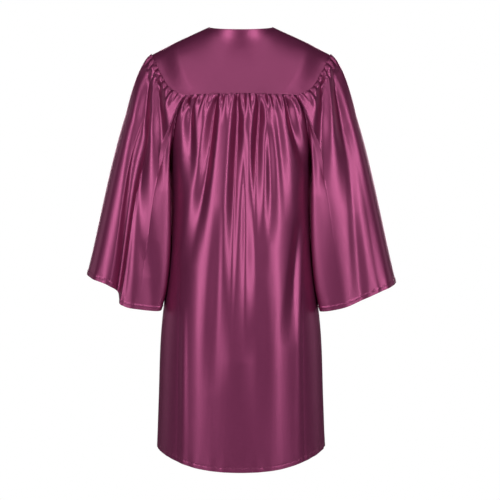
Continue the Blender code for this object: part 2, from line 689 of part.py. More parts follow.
def box(name, size, material, bevel):
    """A box with rounded edges, its middle at its object's origin."""
    shape = bmesh.new()
    bmesh.ops.create_cube(shape, size=1.0)
    bmesh.ops.scale(shape, vec=size, verts=shape.verts)
    mesh = bpy.data.meshes.new(name)
    shape.to_mesh(mesh)
    shape.free()
    part = add_object(name, mesh, material)
    if bevel:
        rounded = part.modifiers.new("Rounded edges", "BEVEL")
        rounded.width = bevel
        rounded.segments = 2
        rounded.limit_method = "ANGLE"
    return part


def cutter(part, size, place):
    """Cuts a box out of a part."""
    tool = box(part.name + "_cutter", size, part.data.materials[0], 0)
    tool.location = place
    tool.parent = part.parent
    tool.hide_render = True
    tool.display_type = "WIRE"
    gown.objects.unlink(tool)
    cutters.objects.link(tool)
    cut = part.modifiers.new("Cut", "BOOLEAN")
    cut.operation = "DIFFERENCE"
    cut.object = tool


def bridge_mesh(material):
    """The slider's bridge, a bent wire over the pull's bar, made a closed mesh."""
    curve = bpy.data.curves.new("slider_bridge", "CURVE")
    curve.dimensions = "3D"
    curve.bevel_depth = BRIDGE_WIRE
    curve.bevel_resolution = 1
    curve.use_fill_caps = True
    spline = curve.splines.new("POLY")
    turns = evenly(BRIDGE_STEPS, 0, math.pi)
    spline.points.add(len(turns) - 1)
    for point, turn in zip(spline.points, turns):
        y = BRIDGE_WIRE - BRIDGE_HEIGHT * math.sin(turn) ** BRIDGE_ROUNDNESS
        point.co = (0, y, BRIDGE_HALF_LENGTH * math.cos(turn), 1)
    wire = bpy.data.objects.new("slider_bridge", curve)
    cutters.objects.link(wire)
    bpy.context.view_layer.update()
    mesh = bpy.data.meshes.new_from_object(wire.evaluated_get(bpy.context.evaluated_depsgraph_get()))
    bpy.data.objects.remove(wire)
    shape = bmesh.new()
    shape.from_mesh(mesh)
    bmesh.ops.remove_doubles(shape, verts=shape.verts, dist=MERGE)
    bmesh.ops.recalc_face_normals(shape, faces=shape.faces)
    shape.to_mesh(mesh)
    shape.free()
    return mesh


def build_zip(tape_material, metal):
    bottom = SIDE_HEM_DROP + FRONT_HEM_DIP - ZIP_ABOVE_HEM
    chain = zip_strip(CHAIN_HALF_WIDTH, V_NECK_DROP + ZIP_BELOW_EDGE, bottom, -CHAIN_PROUD, 1)
    cloth("zip_chain", chain, CHAIN_WALL, metal)
    behind_wall = WALL + 2 * SEAM_GAP
    tape = zip_strip(TAPE_HALF_WIDTH, FRONT_SEAM_DROP + ZIP_BELOW_EDGE, bottom, behind_wall, 4)
    cloth("zip_tape", tape, TAPE_WALL, tape_material)

    lower_end = SLIDER_DROP + SLIDER_SIZE[2] / 2
    front = -float(read(BODY, "front_depth", lower_end)) - CHAIN_PROUD - 2 * SEAM_GAP - SLIDER_SIZE[1]
    slider = box("zip_slider", SLIDER_SIZE, metal, SLIDER_BEVEL)
    slider.location = (0, front + SLIDER_SIZE[1] / 2, -SLIDER_DROP)
    bridge = bpy.data.objects.new("slider_bridge", bridge_mesh(metal))
    bridge.location = (0, front, -SLIDER_DROP)
    bridge.hide_render = True
    bridge.display_type = "WIRE"
    cutters.objects.link(bridge)
    join = slider.modifiers.new("Bridge", "BOOLEAN")
    join.operation = "UNION"
    join.object = bridge

    pivot = bpy.data.objects.new("zip_pull_pivot", None)
    pivot.location = (0, front - PIVOT_CLEARANCE, -SLIDER_DROP)
    gown.objects.link(pivot)
    pull = box("zip_pull", PULL_SIZE, metal, PULL_BEVEL)
    pull.parent = pivot
    pull.location = (0, 0, PULL_BAR / 2 - PULL_SIZE[2] / 2)
    cutter(pull, (PULL_EYE[0], 4 * PULL_SIZE[1], PULL_EYE[1]), (0, 0, -PULL_BAR / 2 - PULL_EYE[1] / 2))


def build_gown():
    satin = satin_material("satin", SATIN, 0.35, 0.4)
    tape = satin_material("zip_cloth", ZIP_CLOTH, 0.7, 0.0)
    metal = satin_material("zip_metal", ZIP_METAL, 0.4, 0.6)
    other_side = np.array([-1, 1, 1])

    cloth("back_panel", back_panel(), WALL, satin)
    cloth("front_left", front_panel(FRONT_LEFT_FOLDS), WALL, satin)
    cloth("front_right", (front_panel(FRONT_RIGHT_FOLDS) * other_side)[:, ::-1], WALL, satin)
    cloth("sleeve_left", sleeve(LEFT_CUFF, LEFT_SLEEVE_FOLDS)[:, ::-1], WALL, satin, closed=True)
    cloth("sleeve_right", sleeve(RIGHT_CUFF, RIGHT_SLEEVE_FOLDS) * other_side, WALL, satin, closed=True)

    # The yokes meet in a mitre at the shoulder seams
    past_seam = 0.5
    back = cloth("back_yoke", back_yoke(), YOKE_WALL, satin)
    cutter(back, (1, past_seam, 1), (0, (SEAM_GAP - past_seam) / 2, 0))
    for name, points in (
        ("front_yoke_left", front_yoke()),
        ("front_yoke_right", (front_yoke() * other_side)[:, ::-1]),
    ):
        front = cloth(name, points, YOKE_WALL, satin)
        cutter(front, (1, past_seam, 1), (0, (past_seam - SEAM_GAP) / 2, 0))
    build_zip(tape, metal)


for scene_object in list(bpy.data.objects):
    bpy.data.objects.remove(scene_object)
gown = bpy.data.collections.new("graduation_gown")
cutters = bpy.data.collections.new("cutters")
bpy.context.scene.collection.children.link(gown)
bpy.context.scene.collection.children.link(cutters)
build_gown()
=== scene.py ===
"""A child's graduation gown in maroon satin, seen from behind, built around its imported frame.

The wearer faces -Y with the left hand at +X. The origin is the middle of the neck opening at the height
where the shoulder seams meet it. The cloth follows the frame's own tables, with deeper folds, a finer
grid and its sewing.
"""

from collections import namedtuple
import math

import bpy
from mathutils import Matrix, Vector
import numpy as np


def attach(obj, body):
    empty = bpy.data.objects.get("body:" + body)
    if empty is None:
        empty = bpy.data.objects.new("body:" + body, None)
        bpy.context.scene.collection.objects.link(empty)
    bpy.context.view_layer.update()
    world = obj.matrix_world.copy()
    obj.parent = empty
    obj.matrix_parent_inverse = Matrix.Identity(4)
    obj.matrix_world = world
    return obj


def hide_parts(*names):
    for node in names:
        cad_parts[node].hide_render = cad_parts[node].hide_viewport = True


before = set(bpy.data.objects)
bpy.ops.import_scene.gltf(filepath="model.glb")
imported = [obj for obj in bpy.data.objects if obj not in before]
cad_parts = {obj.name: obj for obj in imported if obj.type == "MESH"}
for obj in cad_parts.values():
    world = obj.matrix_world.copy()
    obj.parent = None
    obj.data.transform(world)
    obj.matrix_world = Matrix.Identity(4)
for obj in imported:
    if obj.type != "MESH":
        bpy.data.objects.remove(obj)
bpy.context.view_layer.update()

# Driving sizes, in metres
NECK_HALF_WIDTH = 0.0595
BACK_NECK_DROP = 0.0125
BACK_NECK_DEPTH = 0.047
V_NECK_DROP = 0.108
SHOULDER_HALF_WIDTH = 0.168
SHOULDER_DROP = 0.0525
BACK_SEAM_DROP = 0.1355
FRONT_SEAM_DROP = 0.130
UNDERARM_DROP = 0.252
SIDE_HEM_DROP = 0.7855
BACK_HEM_DIP = 0.0311
FRONT_HEM_DIP = 0.0275

# The frame's cloth wall, the gaps at seams, and how near an edge the cloth stays flat
WALL = 0.0012
SEAM_GAP = 0.0003
GATHERED_SEAM_GAP = 0.0007
SLEEVE_SEAM_GAP = 0.0002
ARMHOLE_GAP = 0.0005
FLAT_BESIDE_ZIP = 0.018
FLAT_ENDS = 0.08
HALF_CHANGE = 0.012

# Gathers, and the columns of points that draw each one
BACK_GATHERS = 17
FRONT_GATHERS = 6
SLEEVE_BACK_GATHERS = 9
SLEEVE_FRONT_GATHERS = 6
SLEEVE_GATHER_SHARE = 0.65
COLUMNS_PER_GATHER = 14
GATHER_HEIGHT = 0.0026
GATHER_AT_SEAM = 0.55
GATHER_SWELL = 0.010
GATHER_REACH = 0.045
REACH_SPREAD = 0.45
REACH_TURN = 2.4
GATHER_UNEVEN = 0.35
GATHER_TURN = 1.7
GATHER_ROUNDNESS = 1.2

# The body's section is an ellipse with squared corners
SQUARENESS = 2.3
GIRTH_STEPS = 121

Section = namedtuple("Section", "drop half_width back_depth front_depth")
BODY = (
    Section(0.120, 0.1510, 0.0830, 0.0870),
    Section(0.160, 0.1470, 0.0888, 0.0905),
    Section(0.200, 0.1420, 0.0942, 0.0940),
    Section(0.252, 0.1362, 0.1000, 0.0980),
    Section(0.290, 0.1338, 0.1035, 0.1005),
    Section(0.340, 0.1325, 0.1075, 0.1038),
    Section(0.375, 0.1327, 0.1100, 0.1060),
    Section(0.457, 0.1375, 0.1140, 0.1110),
    Section(0.515, 0.1440, 0.1170, 0.1140),
    Section(0.560, 0.1487, 0.1190, 0.1160),
    Section(0.700, 0.1545, 0.1240, 0.1210),
    Section(0.820, 0.1585, 0.1280, 0.1250),
)

# Where the panels end, as angles in degrees from the wearer's side: positive to the back
Edge = namedtuple("Edge", "drop angle")
BACK_ARMHOLE = (
    Edge(0.1370, 49.9),
    Edge(0.1640, 39.6),
    Edge(0.1910, 33.5),
    Edge(0.2160, 27.0),
    Edge(0.2350, 18.5),
    Edge(0.2470, 9.0),
    Edge(0.2520, 0.0),
)
FRONT_ARMHOLE = (
    Edge(0.1300, -48.4),
    Edge(0.1600, -43.0),
    Edge(0.1900, -36.0),
    Edge(0.2160, -27.5),
    Edge(0.2350, -18.5),
    Edge(0.2470, -9.0),
    Edge(0.2520, 0.0),
)
LOWER_SIDE_SEAM = (
    Edge(0.450, 36.0),
    Edge(0.550, 43.0),
    Edge(0.680, 45.0),
    Edge(0.820, 45.5),
)
SIDE_SEAM = (
    Edge(0.252, 0.0),
    Edge(0.300, 12.0),
    Edge(0.350, 22.0),
    *LOWER_SIDE_SEAM,
)

# A calmer edge that a panel's inner columns follow, so that the armhole's turn doesn't shear them
BACK_CALM = (
    Edge(0.1370, 49.9),
    Edge(0.1900, 37.5),
    Edge(0.2350, 28.5),
    Edge(0.2700, 23.5),
    Edge(0.3300, 21.5),
    Edge(0.3800, 27.0),
    *LOWER_SIDE_SEAM,
)
FRONT_CALM = (
    Edge(0.1300, -48.4),
    Edge(0.1900, -39.0),
    Edge(0.2350, -28.0),
    Edge(0.2700, -14.0),
    Edge(0.3300, 8.0),
    Edge(0.3800, 24.0),
    *LOWER_SIDE_SEAM,
)
CALM_POWER = 6

# The yokes' side edge, from the back corner over the shoulder tip to the front corner
Point = namedtuple("Point", "x y drop")
YOKE_SIDE = (
    Point(0.1023, 0.0668, 0.1370),
    Point(0.1270, 0.0540, 0.1265),
    Point(0.1500, 0.0330, 0.0930),
    Point(0.1635, 0.0145, 0.0630),
    Point(SHOULDER_HALF_WIDTH, 0.0000, SHOULDER_DROP),
    Point(0.1635, -0.0145, 0.0625),
    Point(0.1500, -0.0330, 0.0900),
    Point(0.1280, -0.0560, 0.1190),
    Point(0.1046, -0.0682, 0.1300),
)
YOKE_TIP_ROW = 4
V_NECK = (
    Point(NECK_HALF_WIDTH, 0.0000, 0.0000),
    Point(0.0520, -0.0330, 0.0260),
    Point(0.0330, -0.0660, 0.0640),
    Point(0.0028, -0.0860, V_NECK_DROP),
)
SMOOTHING_PASSES = 3800

# The yokes' rounding over the back and over the shoulder, and the shares of their width it dies away in
BACK_CROWN = 0.006
SHOULDER_CROWN = 0.014
CROWN_LEAN = 0.55
CROWN_STARTS = 0.19
CROWN_GROWS = 0.62
CROWN_SIDE = 0.14
CROWN_FRONT_SIDE = 0.20
CROWN_NECK = 0.15
SHOULDER_SHARE = 0.30

# A fold is a soft ridge down the cloth, or a trough where its height is negative
Fold = namedtuple("Fold", "x_top x_middle x_tip top tip half_width height")
SEAM_FOLD_SWELL = 0.45
FREE_FOLD_SWELL = 0.8
SEAM_ZONE = 0.15
FOLD_WIDENING = 1.0
FOLD_SPREAD = 1.5
FOLD_CREST = 0.25
FOLD_FOOT = 0.25
BACK_FOLDS = (
    Fold(0.0950, 0.0940, 0.0910, 0.134, 0.310, 0.0060, -0.0110),
    Fold(0.0470, 0.0680, 0.0930, 0.134, 0.450, 0.0072, -0.0190),
    Fold(0.0360, 0.0420, 0.0460, 0.340, 0.680, 0.0090, -0.0060),
    Fold(0.0027, 0.0140, 0.0170, 0.134, 0.620, 0.0072, -0.0200),
    Fold(-0.0040, -0.0090, -0.0040, 0.200, 0.620, 0.0075, -0.0150),
    Fold(-0.0380, -0.0285, -0.0330, 0.134, 0.470, 0.0070, -0.0190),
    Fold(-0.0480, -0.0560, -0.0480, 0.190, 0.420, 0.0062, -0.0085),
    Fold(-0.0620, -0.0760, -0.0800, 0.150, 0.370, 0.0055, -0.0050),
    Fold(-0.0830, -0.1010, -0.1220, 0.134, 0.285, 0.0055, -0.0130),
    Fold(-0.1080, -0.0980, -0.0860, 0.360, 0.600, 0.0075, -0.0060),
    Fold(-0.0300, -0.0280, -0.0260, 0.430, 0.760, 0.0110, -0.0040),
    Fold(0.0780, 0.0770, 0.0820, 0.330, 1.100, 0.0140, 0.0035),
    Fold(-0.0680, -0.0680, -0.0750, 0.350, 1.100, 0.0140, 0.0035),
    Fold(0.1040, 0.1060, 0.1080, 0.520, 0.860, 0.0055, 0.0035),
    Fold(-0.1080, -0.1130, -0.1120, 0.480, 0.860, 0.0055, 0.0035),
)
FRONT_LEFT_FOLDS = (
    Fold(0.0930, 0.0960, 0.0980, 0.130, 0.340, 0.0060, -0.0080),
    Fold(0.0640, 0.0780, 0.0920, 0.130, 0.520, 0.0078, -0.0115),
    Fold(0.0400, 0.0440, 0.0560, 0.130, 0.640, 0.0078, -0.0110),
    Fold(0.0560, 0.0620, 0.0700, 0.220, 0.520, 0.0060, -0.0070),
    Fold(0.0720, 0.0740, 0.0780, 0.400, 1.100, 0.0165, 0.0060),
)
FRONT_RIGHT_FOLDS = (
    Fold(0.0900, 0.0980, 0.1040, 0.130, 0.320, 0.0060, -0.0080),
    Fold(0.0600, 0.0700, 0.0860, 0.130, 0.480, 0.0078, -0.0115),
    Fold(0.0380, 0.0400, 0.0460, 0.130, 0.680, 0.0075, -0.0110),
    Fold(0.0500, 0.0560, 0.0640, 0.250, 0.560, 0.0060, -0.0070),
    Fold(0.0660, 0.0700, 0.0740, 0.420, 1.100, 0.0165, 0.0060),
)

# Sleeves: how each line of cloth leaves the armhole and arrives at the cuff
YOKE_CORNER_SHARE = 0.2
Leaving = namedtuple("Leaving", "share x y drop")
ARMHOLE_LEAVING = (
    Leaving(0.00, 0.080, 0.000, 0.16),
    Leaving(0.10, 0.040, 0.020, 0.17),
    Leaving(0.20, 0.150, 0.020, 0.20),
    Leaving(0.35, 0.175, 0.060, 0.26),
    Leaving(0.43, 0.190, 0.055, 0.30),
    Leaving(0.50, 0.195, 0.000, 0.33),
    Leaving(0.57, 0.190, -0.055, 0.30),
    Leaving(0.65, 0.175, -0.060, 0.26),
    Leaving(0.80, 0.145, -0.020, 0.20),
    Leaving(0.90, 0.040, -0.020, 0.17),
    Leaving(1.00, 0.080, 0.000, 0.16),
)
CUFF_ARRIVING = (
    Leaving(0.00, 0.085, 0.000, 0.25),
    Leaving(0.09, 0.092, -0.004, 0.30),
    Leaving(0.20, 0.055, -0.010, 0.36),
    Leaving(0.50, 0.100, 0.000, 0.40),
    Leaving(0.80, 0.050, 0.010, 0.36),
    Leaving(0.92, 0.075, 0.000, 0.30),
    Leaving(1.00, 0.085, 0.000, 0.25),
)
LEFT_CUFF = (
    Leaving(0.000, 0.151, 0.000, 0.517),
    Leaving(0.040, 0.148, 0.026, 0.524),
    Leaving(0.100, 0.147, 0.046, 0.532),
    Leaving(0.200, 0.188, 0.060, 0.529),
    Leaving(0.270, 0.215, 0.062, 0.523),
    Leaving(0.300, 0.224, 0.058, 0.517),
    Leaving(0.325, 0.227, 0.040, 0.500),
    Leaving(0.370, 0.244, 0.047, 0.486),
    Leaving(0.440, 0.274, 0.036, 0.474),
    Leaving(0.500, 0.289, 0.000, 0.465),
    Leaving(0.560, 0.274, -0.034, 0.468),
    Leaving(0.700, 0.225, -0.052, 0.481),
    Leaving(0.800, 0.192, -0.055, 0.493),
    Leaving(0.880, 0.163, -0.053, 0.503),
    Leaving(0.940, 0.151, -0.041, 0.510),
    Leaving(0.975, 0.150, -0.022, 0.514),
    Leaving(1.000, 0.151, 0.000, 0.517),
)
RIGHT_CUFF = (
    Leaving(0.000, 0.152, 0.000, 0.520),
    Leaving(0.040, 0.149, 0.026, 0.527),
    Leaving(0.100, 0.148, 0.046, 0.533),
    Leaving(0.200, 0.187, 0.059, 0.527),
    Leaving(0.300, 0.222, 0.053, 0.513),
    Leaving(0.400, 0.256, 0.046, 0.498),
    Leaving(0.460, 0.281, 0.031, 0.487),
    Leaving(0.500, 0.291, 0.000, 0.480),
    Leaving(0.560, 0.275, -0.034, 0.481),
    Leaving(0.700, 0.227, -0.052, 0.489),
    Leaving(0.800, 0.193, -0.055, 0.498),
    Leaving(0.880, 0.163, -0.053, 0.507),
    Leaving(0.940, 0.152, -0.041, 0.513),
    Leaving(0.975, 0.151, -0.022, 0.517),
    Leaving(1.000, 0.152, 0.000, 0.520),
)
SLEEVE_HEAD_PUFF = 0.006
SLEEVE_HEAD_REACH = 0.30
SLEEVE_HEAD_SWELL = 0.55
SLEEVE_HEAD_ENDS = 0.15
CLEAR_OF_SEAM = 0.04
LEFT_SLEEVE_FOLDS = (
    Fold(0.1980, 0.2110, 0.2260, 0.170, 0.640, 0.0070, -0.0060),
    Fold(0.1700, 0.1870, 0.1760, 0.085, 0.470, 0.0095, -0.0190),
    Fold(0.1540, 0.1480, 0.1360, 0.095, 0.310, 0.0075, -0.0160),
    Fold(0.1680, 0.1620, 0.1600, 0.400, 0.700, 0.0120, -0.0050),
)
RIGHT_SLEEVE_FOLDS = (
    Fold(0.1720, 0.1960, 0.2080, 0.085, 0.350, 0.0100, -0.0190),
    Fold(0.1520, 0.1500, 0.1380, 0.090, 0.320, 0.0078, -0.0160),
    Fold(0.2020, 0.2150, 0.2300, 0.260, 0.620, 0.0070, -0.0040),
)
SLEEVE_FRONT_FOLDS = (
    Fold(0.1640, 0.1760, 0.1840, 0.095, 0.400, 0.0090, -0.0110),
    Fold(0.1900, 0.2040, 0.2200, 0.190, 0.620, 0.0050, -0.0050),
    Fold(0.1500, 0.1470, 0.1400, 0.095, 0.310, 0.0070, -0.0100),
)

# Each side of the gown, the outer edge of its front, and the share of its columns at the zip
Side = namedtuple("Side", "name outer at_zip front_folds cuff sleeve_folds")
SIDES = (
    Side("left", "right", 0, FRONT_LEFT_FOLDS, LEFT_CUFF, LEFT_SLEEVE_FOLDS),
    Side("right", "left", 1, FRONT_RIGHT_FOLDS, RIGHT_CUFF, RIGHT_SLEEVE_FOLDS),
)

# Rows of points down the cloth, which lie close together in its last share, where the hem is
UNDERARM_ROWS = 44
UNDERARM_ROWS_LEAN = 1.4
PANEL_ROWS = 115
PANEL_ROWS_LEAN = 1.0
PANEL_HEM_SHARE = 0.028
SLEEVE_ROWS = 110
SLEEVE_ROWS_LEAN = 1.25
SLEEVE_HEM_SHARE = 0.035
HEM_ROWS = 14
YOKE_ROWS = 80
V_NECK_ROWS = 64
YOKE_COLUMNS = 160
FRONT_YOKE_COLUMNS = 64
FRONT_SIDE_COLUMNS = 40
FRONT_GATHERED_SHARE = 0.70
SLEEVE_LENGTH = 0.42
OTHER_SIDE = np.array([-1, 1, 1])

# Zip
CHAIN_HALF_WIDTH = 0.0025
TAPE_HALF_WIDTH = 0.013
TAPE_CLOTH_WALL = 0.0007
TAPE_COLUMNS = 16
ZIP_ROWS = 180
ZIP_BELOW_EDGE = 0.002
ZIP_ABOVE_HEM = 0.001
TOOTH_PITCH = 0.00115
TOOTH_OFFSET = 0.0007
TOOTH_INSET = 0.0002
TOOTH_SIZE = (0.0036, 0.0010, 0.0012)

# Fine form that the frame leaves out: the cloth's real wall, its hem, and how far its sewing draws it in
CLOTH_WALL = 0.0006
HEM_BAND = 0.0078
HEM_STEP = 0.0012
SEAM_SINK = 0.0003
TOP_SEAM_SINK = 0.0011
SEAM_SINK_REACH = 0.0022
STITCH_SINK = 0.00035
STITCH_SINK_REACH = 0.0011
HEM_WAVE_REACH = 0.02
HEM_WAVE_ENDS = 0.01
TUBE_BLEND = 0.03
SHARP_ANGLE = math.radians(60)

# Uneven creases, each a sum of waves. A pucker's height is its share of the sewing's depth
Ripple = namedtuple("Ripple", "height width length waves seed")
YOKE_RIPPLE = Ripple(0.00008, 0.045, 0.09, 12, 0)
YOKE_CROSS_RIPPLE = Ripple(0.00004, 0.030, 0.12, 12, 1)
CLOTH_RIPPLE = Ripple(0.00003, 0.040, 0.30, 12, 0)
CLOTH_FINE_RIPPLE = Ripple(0.000009, 0.015, 0.16, 12, 1)
SEAM_PUCKER = Ripple(0.6, 0.008, 1.0, 5, 7)
HEM_PUCKER = Ripple(0.7, 0.009, 1.0, 6, 9)
HEM_WAVE = Ripple(0.0003, 0.022, 1.0, 6, 11)
RIPPLE_SPREAD = (0.6, 1.7)
SEED_STEP = 13

# Rows of sewing, how far in they run, and the small grains that draw stitches and teeth
YOKE_STITCH_IN = 0.0022
NECK_STITCH_IN = 0.004
ZIP_STITCH_IN = 0.005
STITCH_PITCH = 0.0030
STITCH_SIZE = (0.0024, 0.00045, 0.0004)
STITCH_RISE = 0.2
GRAIN_SIDES = 6
GRAIN_RINGS = ((-0.5, 0.35), (-0.36, 0.95), (0.36, 0.95), (0.5, 0.35))

# What shows of each cut piece: its width by its length, and its area
Cut = namedtuple("Cut", "flat area")

# Satin. Its slub and crumple have a scale across and along the cloth, a bump a strength and a depth
SATIN_DARK = (0.194, 0.017, 0.084, 1)
SATIN_LIGHT = (0.248, 0.028, 0.113, 1)
SATIN_ROUGHNESS = 0.44
SATIN_ROUGHNESS_SPREAD = 0.03
SATIN_METALLIC = 0.80
SATIN_GLOSS = 0.6
SATIN_GLOSS_ROUGHNESS = 0.42
SATIN_SPECULAR = 0.6
SATIN_SPECULAR_TINT = (1.0, 0.45, 0.68, 1)
TINT_SCALE = 9.0
SLUB_SCALE = (60, 900, 1)
SLUB_BUMP = (0.25, 0.00008)
CRUMPLE_SCALE = (70, 22, 1)
CRUMPLE_BUMP = (0.3, 0.00015)
THREAD_SCALE = 520.0
THREAD_BUMP = (0.15, 0.00006)

# The other materials: the two colours that their grain runs between, and its size and depth
Finish = namedtuple("Finish", "dark light roughness scale bump")
SEWING = Finish((0.13, 0.012, 0.05, 1), (0.24, 0.035, 0.11, 1), 0.5, 420.0, (0.4, 0.0001))
TAPE = Finish((0.07, 0.006, 0.025, 1), (0.15, 0.016, 0.058, 1), 0.7, 330.0, (0.5, 0.0002))
COIL = Finish((0.11, 0.010, 0.042, 1), (0.17, 0.020, 0.070, 1), 0.35, 900.0, (0.2, 0.00005))
ENAMEL = Finish((0.16, 0.016, 0.06, 1), (0.34, 0.16, 0.20, 1), (0.22, 0.42), 260.0, (0.15, 0.00006))
ENAMEL_RUBBED = (0.52, 0.72)
ENAMEL_METALLIC = 0.75
ENAMEL_COAT = 0.4
FLOOR_DARK = (0.80, 0.80, 0.80, 1)
FLOOR_LIGHT = (0.86, 0.86, 0.86, 1)
FLOOR_ROUGHNESS = 0.9
FLOOR_SCALE = 3.0

# Where a mix node takes two values, where it takes two colours, and where it gives their mixture
MIX_VALUES = (2, 3)
MIX_COLOURS = (6, 7)
MIXED_COLOUR = 2

# Studio
CAMERA_PLACE = (-0.01695, 2.3, -0.4199)
CAMERA_SENSOR = 36.0
CAMERA_LENS = 87.94
LIT_POINT = (0, 0, -0.40)
Softbox = namedtuple("Softbox", "name place size power")
SOFTBOXES = (
    Softbox("softbox_left", (1.55, 2.1, 0.20), (0.8, 1.7), 36),
    Softbox("softbox_right", (-1.55, 2.1, 0.20), (0.8, 1.7), 35),
    Softbox("softbox_above", (0.0, 1.3, 1.75), (4.0, 0.7), 21),
    Softbox("softbox_side_left", (2.3, -0.9, -0.1), (0.8, 1.8), 4),
    Softbox("softbox_side_right", (-2.3, -0.9, -0.1), (0.8, 1.8), 4),
    Softbox("softbox_front_left", (0.9, -2.3, 0.4), (0.9, 1.6), 22),
    Softbox("softbox_front_right", (-0.9, -2.3, 0.4), (0.9, 1.6), 22),
)
WHITE = (1, 1, 1, 1)
ROOM_LIGHT = 0.035
FLOOR_DROP = 1.18
FLOOR_RADIUS = 1.4
FLOOR_SIDES = 64


def smooth_curve(stations, values, at):
    """Values on a smooth curve through the rows of a table."""
    stations = np.asarray(stations, float)
    values = np.asarray(values, float)
    slopes = np.gradient(values, stations)
    at = np.clip(at, stations[0], stations[-1])
    i = np.clip(np.searchsorted(stations, at, side="right") - 1, 0, len(stations) - 2)
    span = stations[i + 1] - stations[i]
    t = (at - stations[i]) / span
    start = values[i] * (2 * t**3 - 3 * t**2 + 1) + slopes[i] * span * (t**3 - 2 * t**2 + t)
    return start + values[i + 1] * (3 * t**2 - 2 * t**3) + slopes[i + 1] * span * (t**3 - t**2)


def read(table, name, at):
    """One column of a table at places along its first column."""
    stations = [row[0] for row in table]
    return smooth_curve(stations, [getattr(row, name) for row in table], at)


def ease(t):
    """From 0 to 1 with no corner at either end."""
    t = np.clip(t, 0, 1)
    return t * t * (3 - 2 * t)


def body_section(drop, angle):
    """Points of the unfolded body at drops and angles from the left side."""
    half_width = read(BODY, "half_width", drop)
    back, front = read(BODY, "back_depth", drop), read(BODY, "front_depth", drop)
    side, depth = np.cos(angle), np.sin(angle)
    power = 2 / SQUARENESS
    x = half_width * np.sign(side) * np.abs(side) ** power
    y = np.where(depth > 0, back, front) * np.sign(depth) * np.abs(depth) ** power
    return np.stack(np.broadcast_arrays(x, y, -np.asarray(drop, float)), axis=-1)


def side_angle(armhole, drop):
    """The angle at which a panel ends: at its armhole, and below that at the side seam."""
    angle = np.where(drop < UNDERARM_DROP, read(armhole, "angle", drop), read(SIDE_SEAM, "angle", drop))
    return np.radians(angle)


def along_line(points):
    """How far each point of a line is from its start."""
    steps = np.linalg.norm(np.diff(points, axis=0), axis=1)
    return np.concatenate([[0], np.cumsum(steps)])


def angles_round(drop, start, end, shares):
    """Angles that share out the girth between two angles evenly by length."""
    angles = np.linspace(start, end, GIRTH_STEPS)
    points = body_section(np.full(GIRTH_STEPS, drop), angles)
    length = along_line(points)
    return np.interp(np.asarray(shares) * length[-1], length, angles)


def hem_drop(angle):
    """The hem dips towards the middle of the back and of the front."""
    dip = np.where(np.sin(angle) > 0, BACK_HEM_DIP, FRONT_HEM_DIP)
    return SIDE_HEM_DROP + dip * np.sin(angle) ** 2


def fold_relief(folds, x, drop):
    """How far the folds of a table stand out of the cloth."""
    relief = np.zeros_like(x)
    for fold in folds:
        along = np.clip((drop - fold.top) / (fold.tip - fold.top), 0, 1)
        centre = (
            fold.x_top * (1 - along) * (1 - 2 * along)
            + fold.x_middle * 4 * along * (1 - along)
            + fold.x_tip * along * (2 * along - 1)
        )
        across = (x - centre) / (FOLD_SPREAD * fold.half_width * (1 + FOLD_WIDENING * along))
        swell = SEAM_FOLD_SWELL if fold.top < SEAM_ZONE else FREE_FOLD_SWELL
        rise = 1 - np.sqrt(across**2 + FOLD_CREST**2)
        profile = (rise + np.sqrt(rise**2 + FOLD_FOOT**2)) / 2
        relief += fold.height * np.sin(math.pi * along**swell) * profile
    return relief


def gather_relief(shares, count, distance):
    """Small gathers that die away below the seam, some sooner than others."""
    index = np.floor(shares * count)
    reach = GATHER_REACH * (1 + REACH_SPREAD * np.sin(REACH_TURN * index))
    swell = GATHER_AT_SEAM + (1 - GATHER_AT_SEAM) * ease(distance / GATHER_SWELL)
    fade = swell * (1 - ease(distance / reach))
    ends = ease(np.minimum(shares, 1 - shares) * count)
    height = 2 * GATHER_HEIGHT * (1 + GATHER_UNEVEN * np.sin(GATHER_TURN * index))
    return height * np.abs(np.sin(math.pi * count * shares)) ** GATHER_ROUNDNESS * fade * ends


def outward(points, closed=False):
    """Which way is out of the cloth at each point of a grid."""
    if closed:
        wrapped = np.concatenate([points[:, -2:-1], points, points[:, 1:2]], axis=1)
        across = np.gradient(wrapped, axis=1)[:, 1:-1]
    else:
        across = np.gradient(points, axis=1)
    normal = np.cross(np.gradient(points, axis=0), across)
    return normal / np.linalg.norm(normal, axis=2, keepdims=True)


def draw_in(points, top=0.0, bottom=0.0, left=0.0, right=0.0):
    """Moves the edges of a grid in along the cloth, which leaves a gap at each seam."""
    drawn = points.copy()
    for gap, edge, inner in ((top, 0, 1), (bottom, -1, -2)):
        step = points[inner] - points[edge]
        drawn[edge] += gap * step / np.linalg.norm(step, axis=-1, keepdims=True)
    for gap, edge, inner in ((left, 0, 1), (right, -1, -2)):
        step = drawn[:, inner] - drawn[:, edge]
        drawn[:, edge] += gap * step / np.linalg.norm(step, axis=-1, keepdims=True)
    return drawn


def evenly(count, first=0.0, last=1.0):
    return first + (last - first) * np.arange(count + 1) / count


def row_shares(rows, lean, hem_share):
    """Shares of the way down to a hem, close together in the last of them."""
    above = (1 - hem_share) * evenly(rows) ** lean
    return np.concatenate([above[:-1], evenly(HEM_ROWS, 1 - hem_share)])


def panel_heights(armhole):
    """Drops of a panel's rows at its side edge."""
    corner = armhole[0].drop
    side_hem = hem_drop(side_angle(armhole, SIDE_HEM_DROP))
    to_underarm = evenly(UNDERARM_ROWS) ** UNDERARM_ROWS_LEAN
    to_hem = row_shares(PANEL_ROWS, PANEL_ROWS_LEAN, PANEL_HEM_SHARE)[1:]
    above = corner + to_underarm * (UNDERARM_DROP - corner)
    return np.concatenate([above, UNDERARM_DROP + to_hem * (side_hem - UNDERARM_DROP)])


def side_gap(armhole):
    """How far a panel's side edge keeps back at each row, further beside the armhole, where cloth turns."""
    return np.where(panel_heights(armhole) <= UNDERARM_DROP, ARMHOLE_GAP, 0)[:, None]


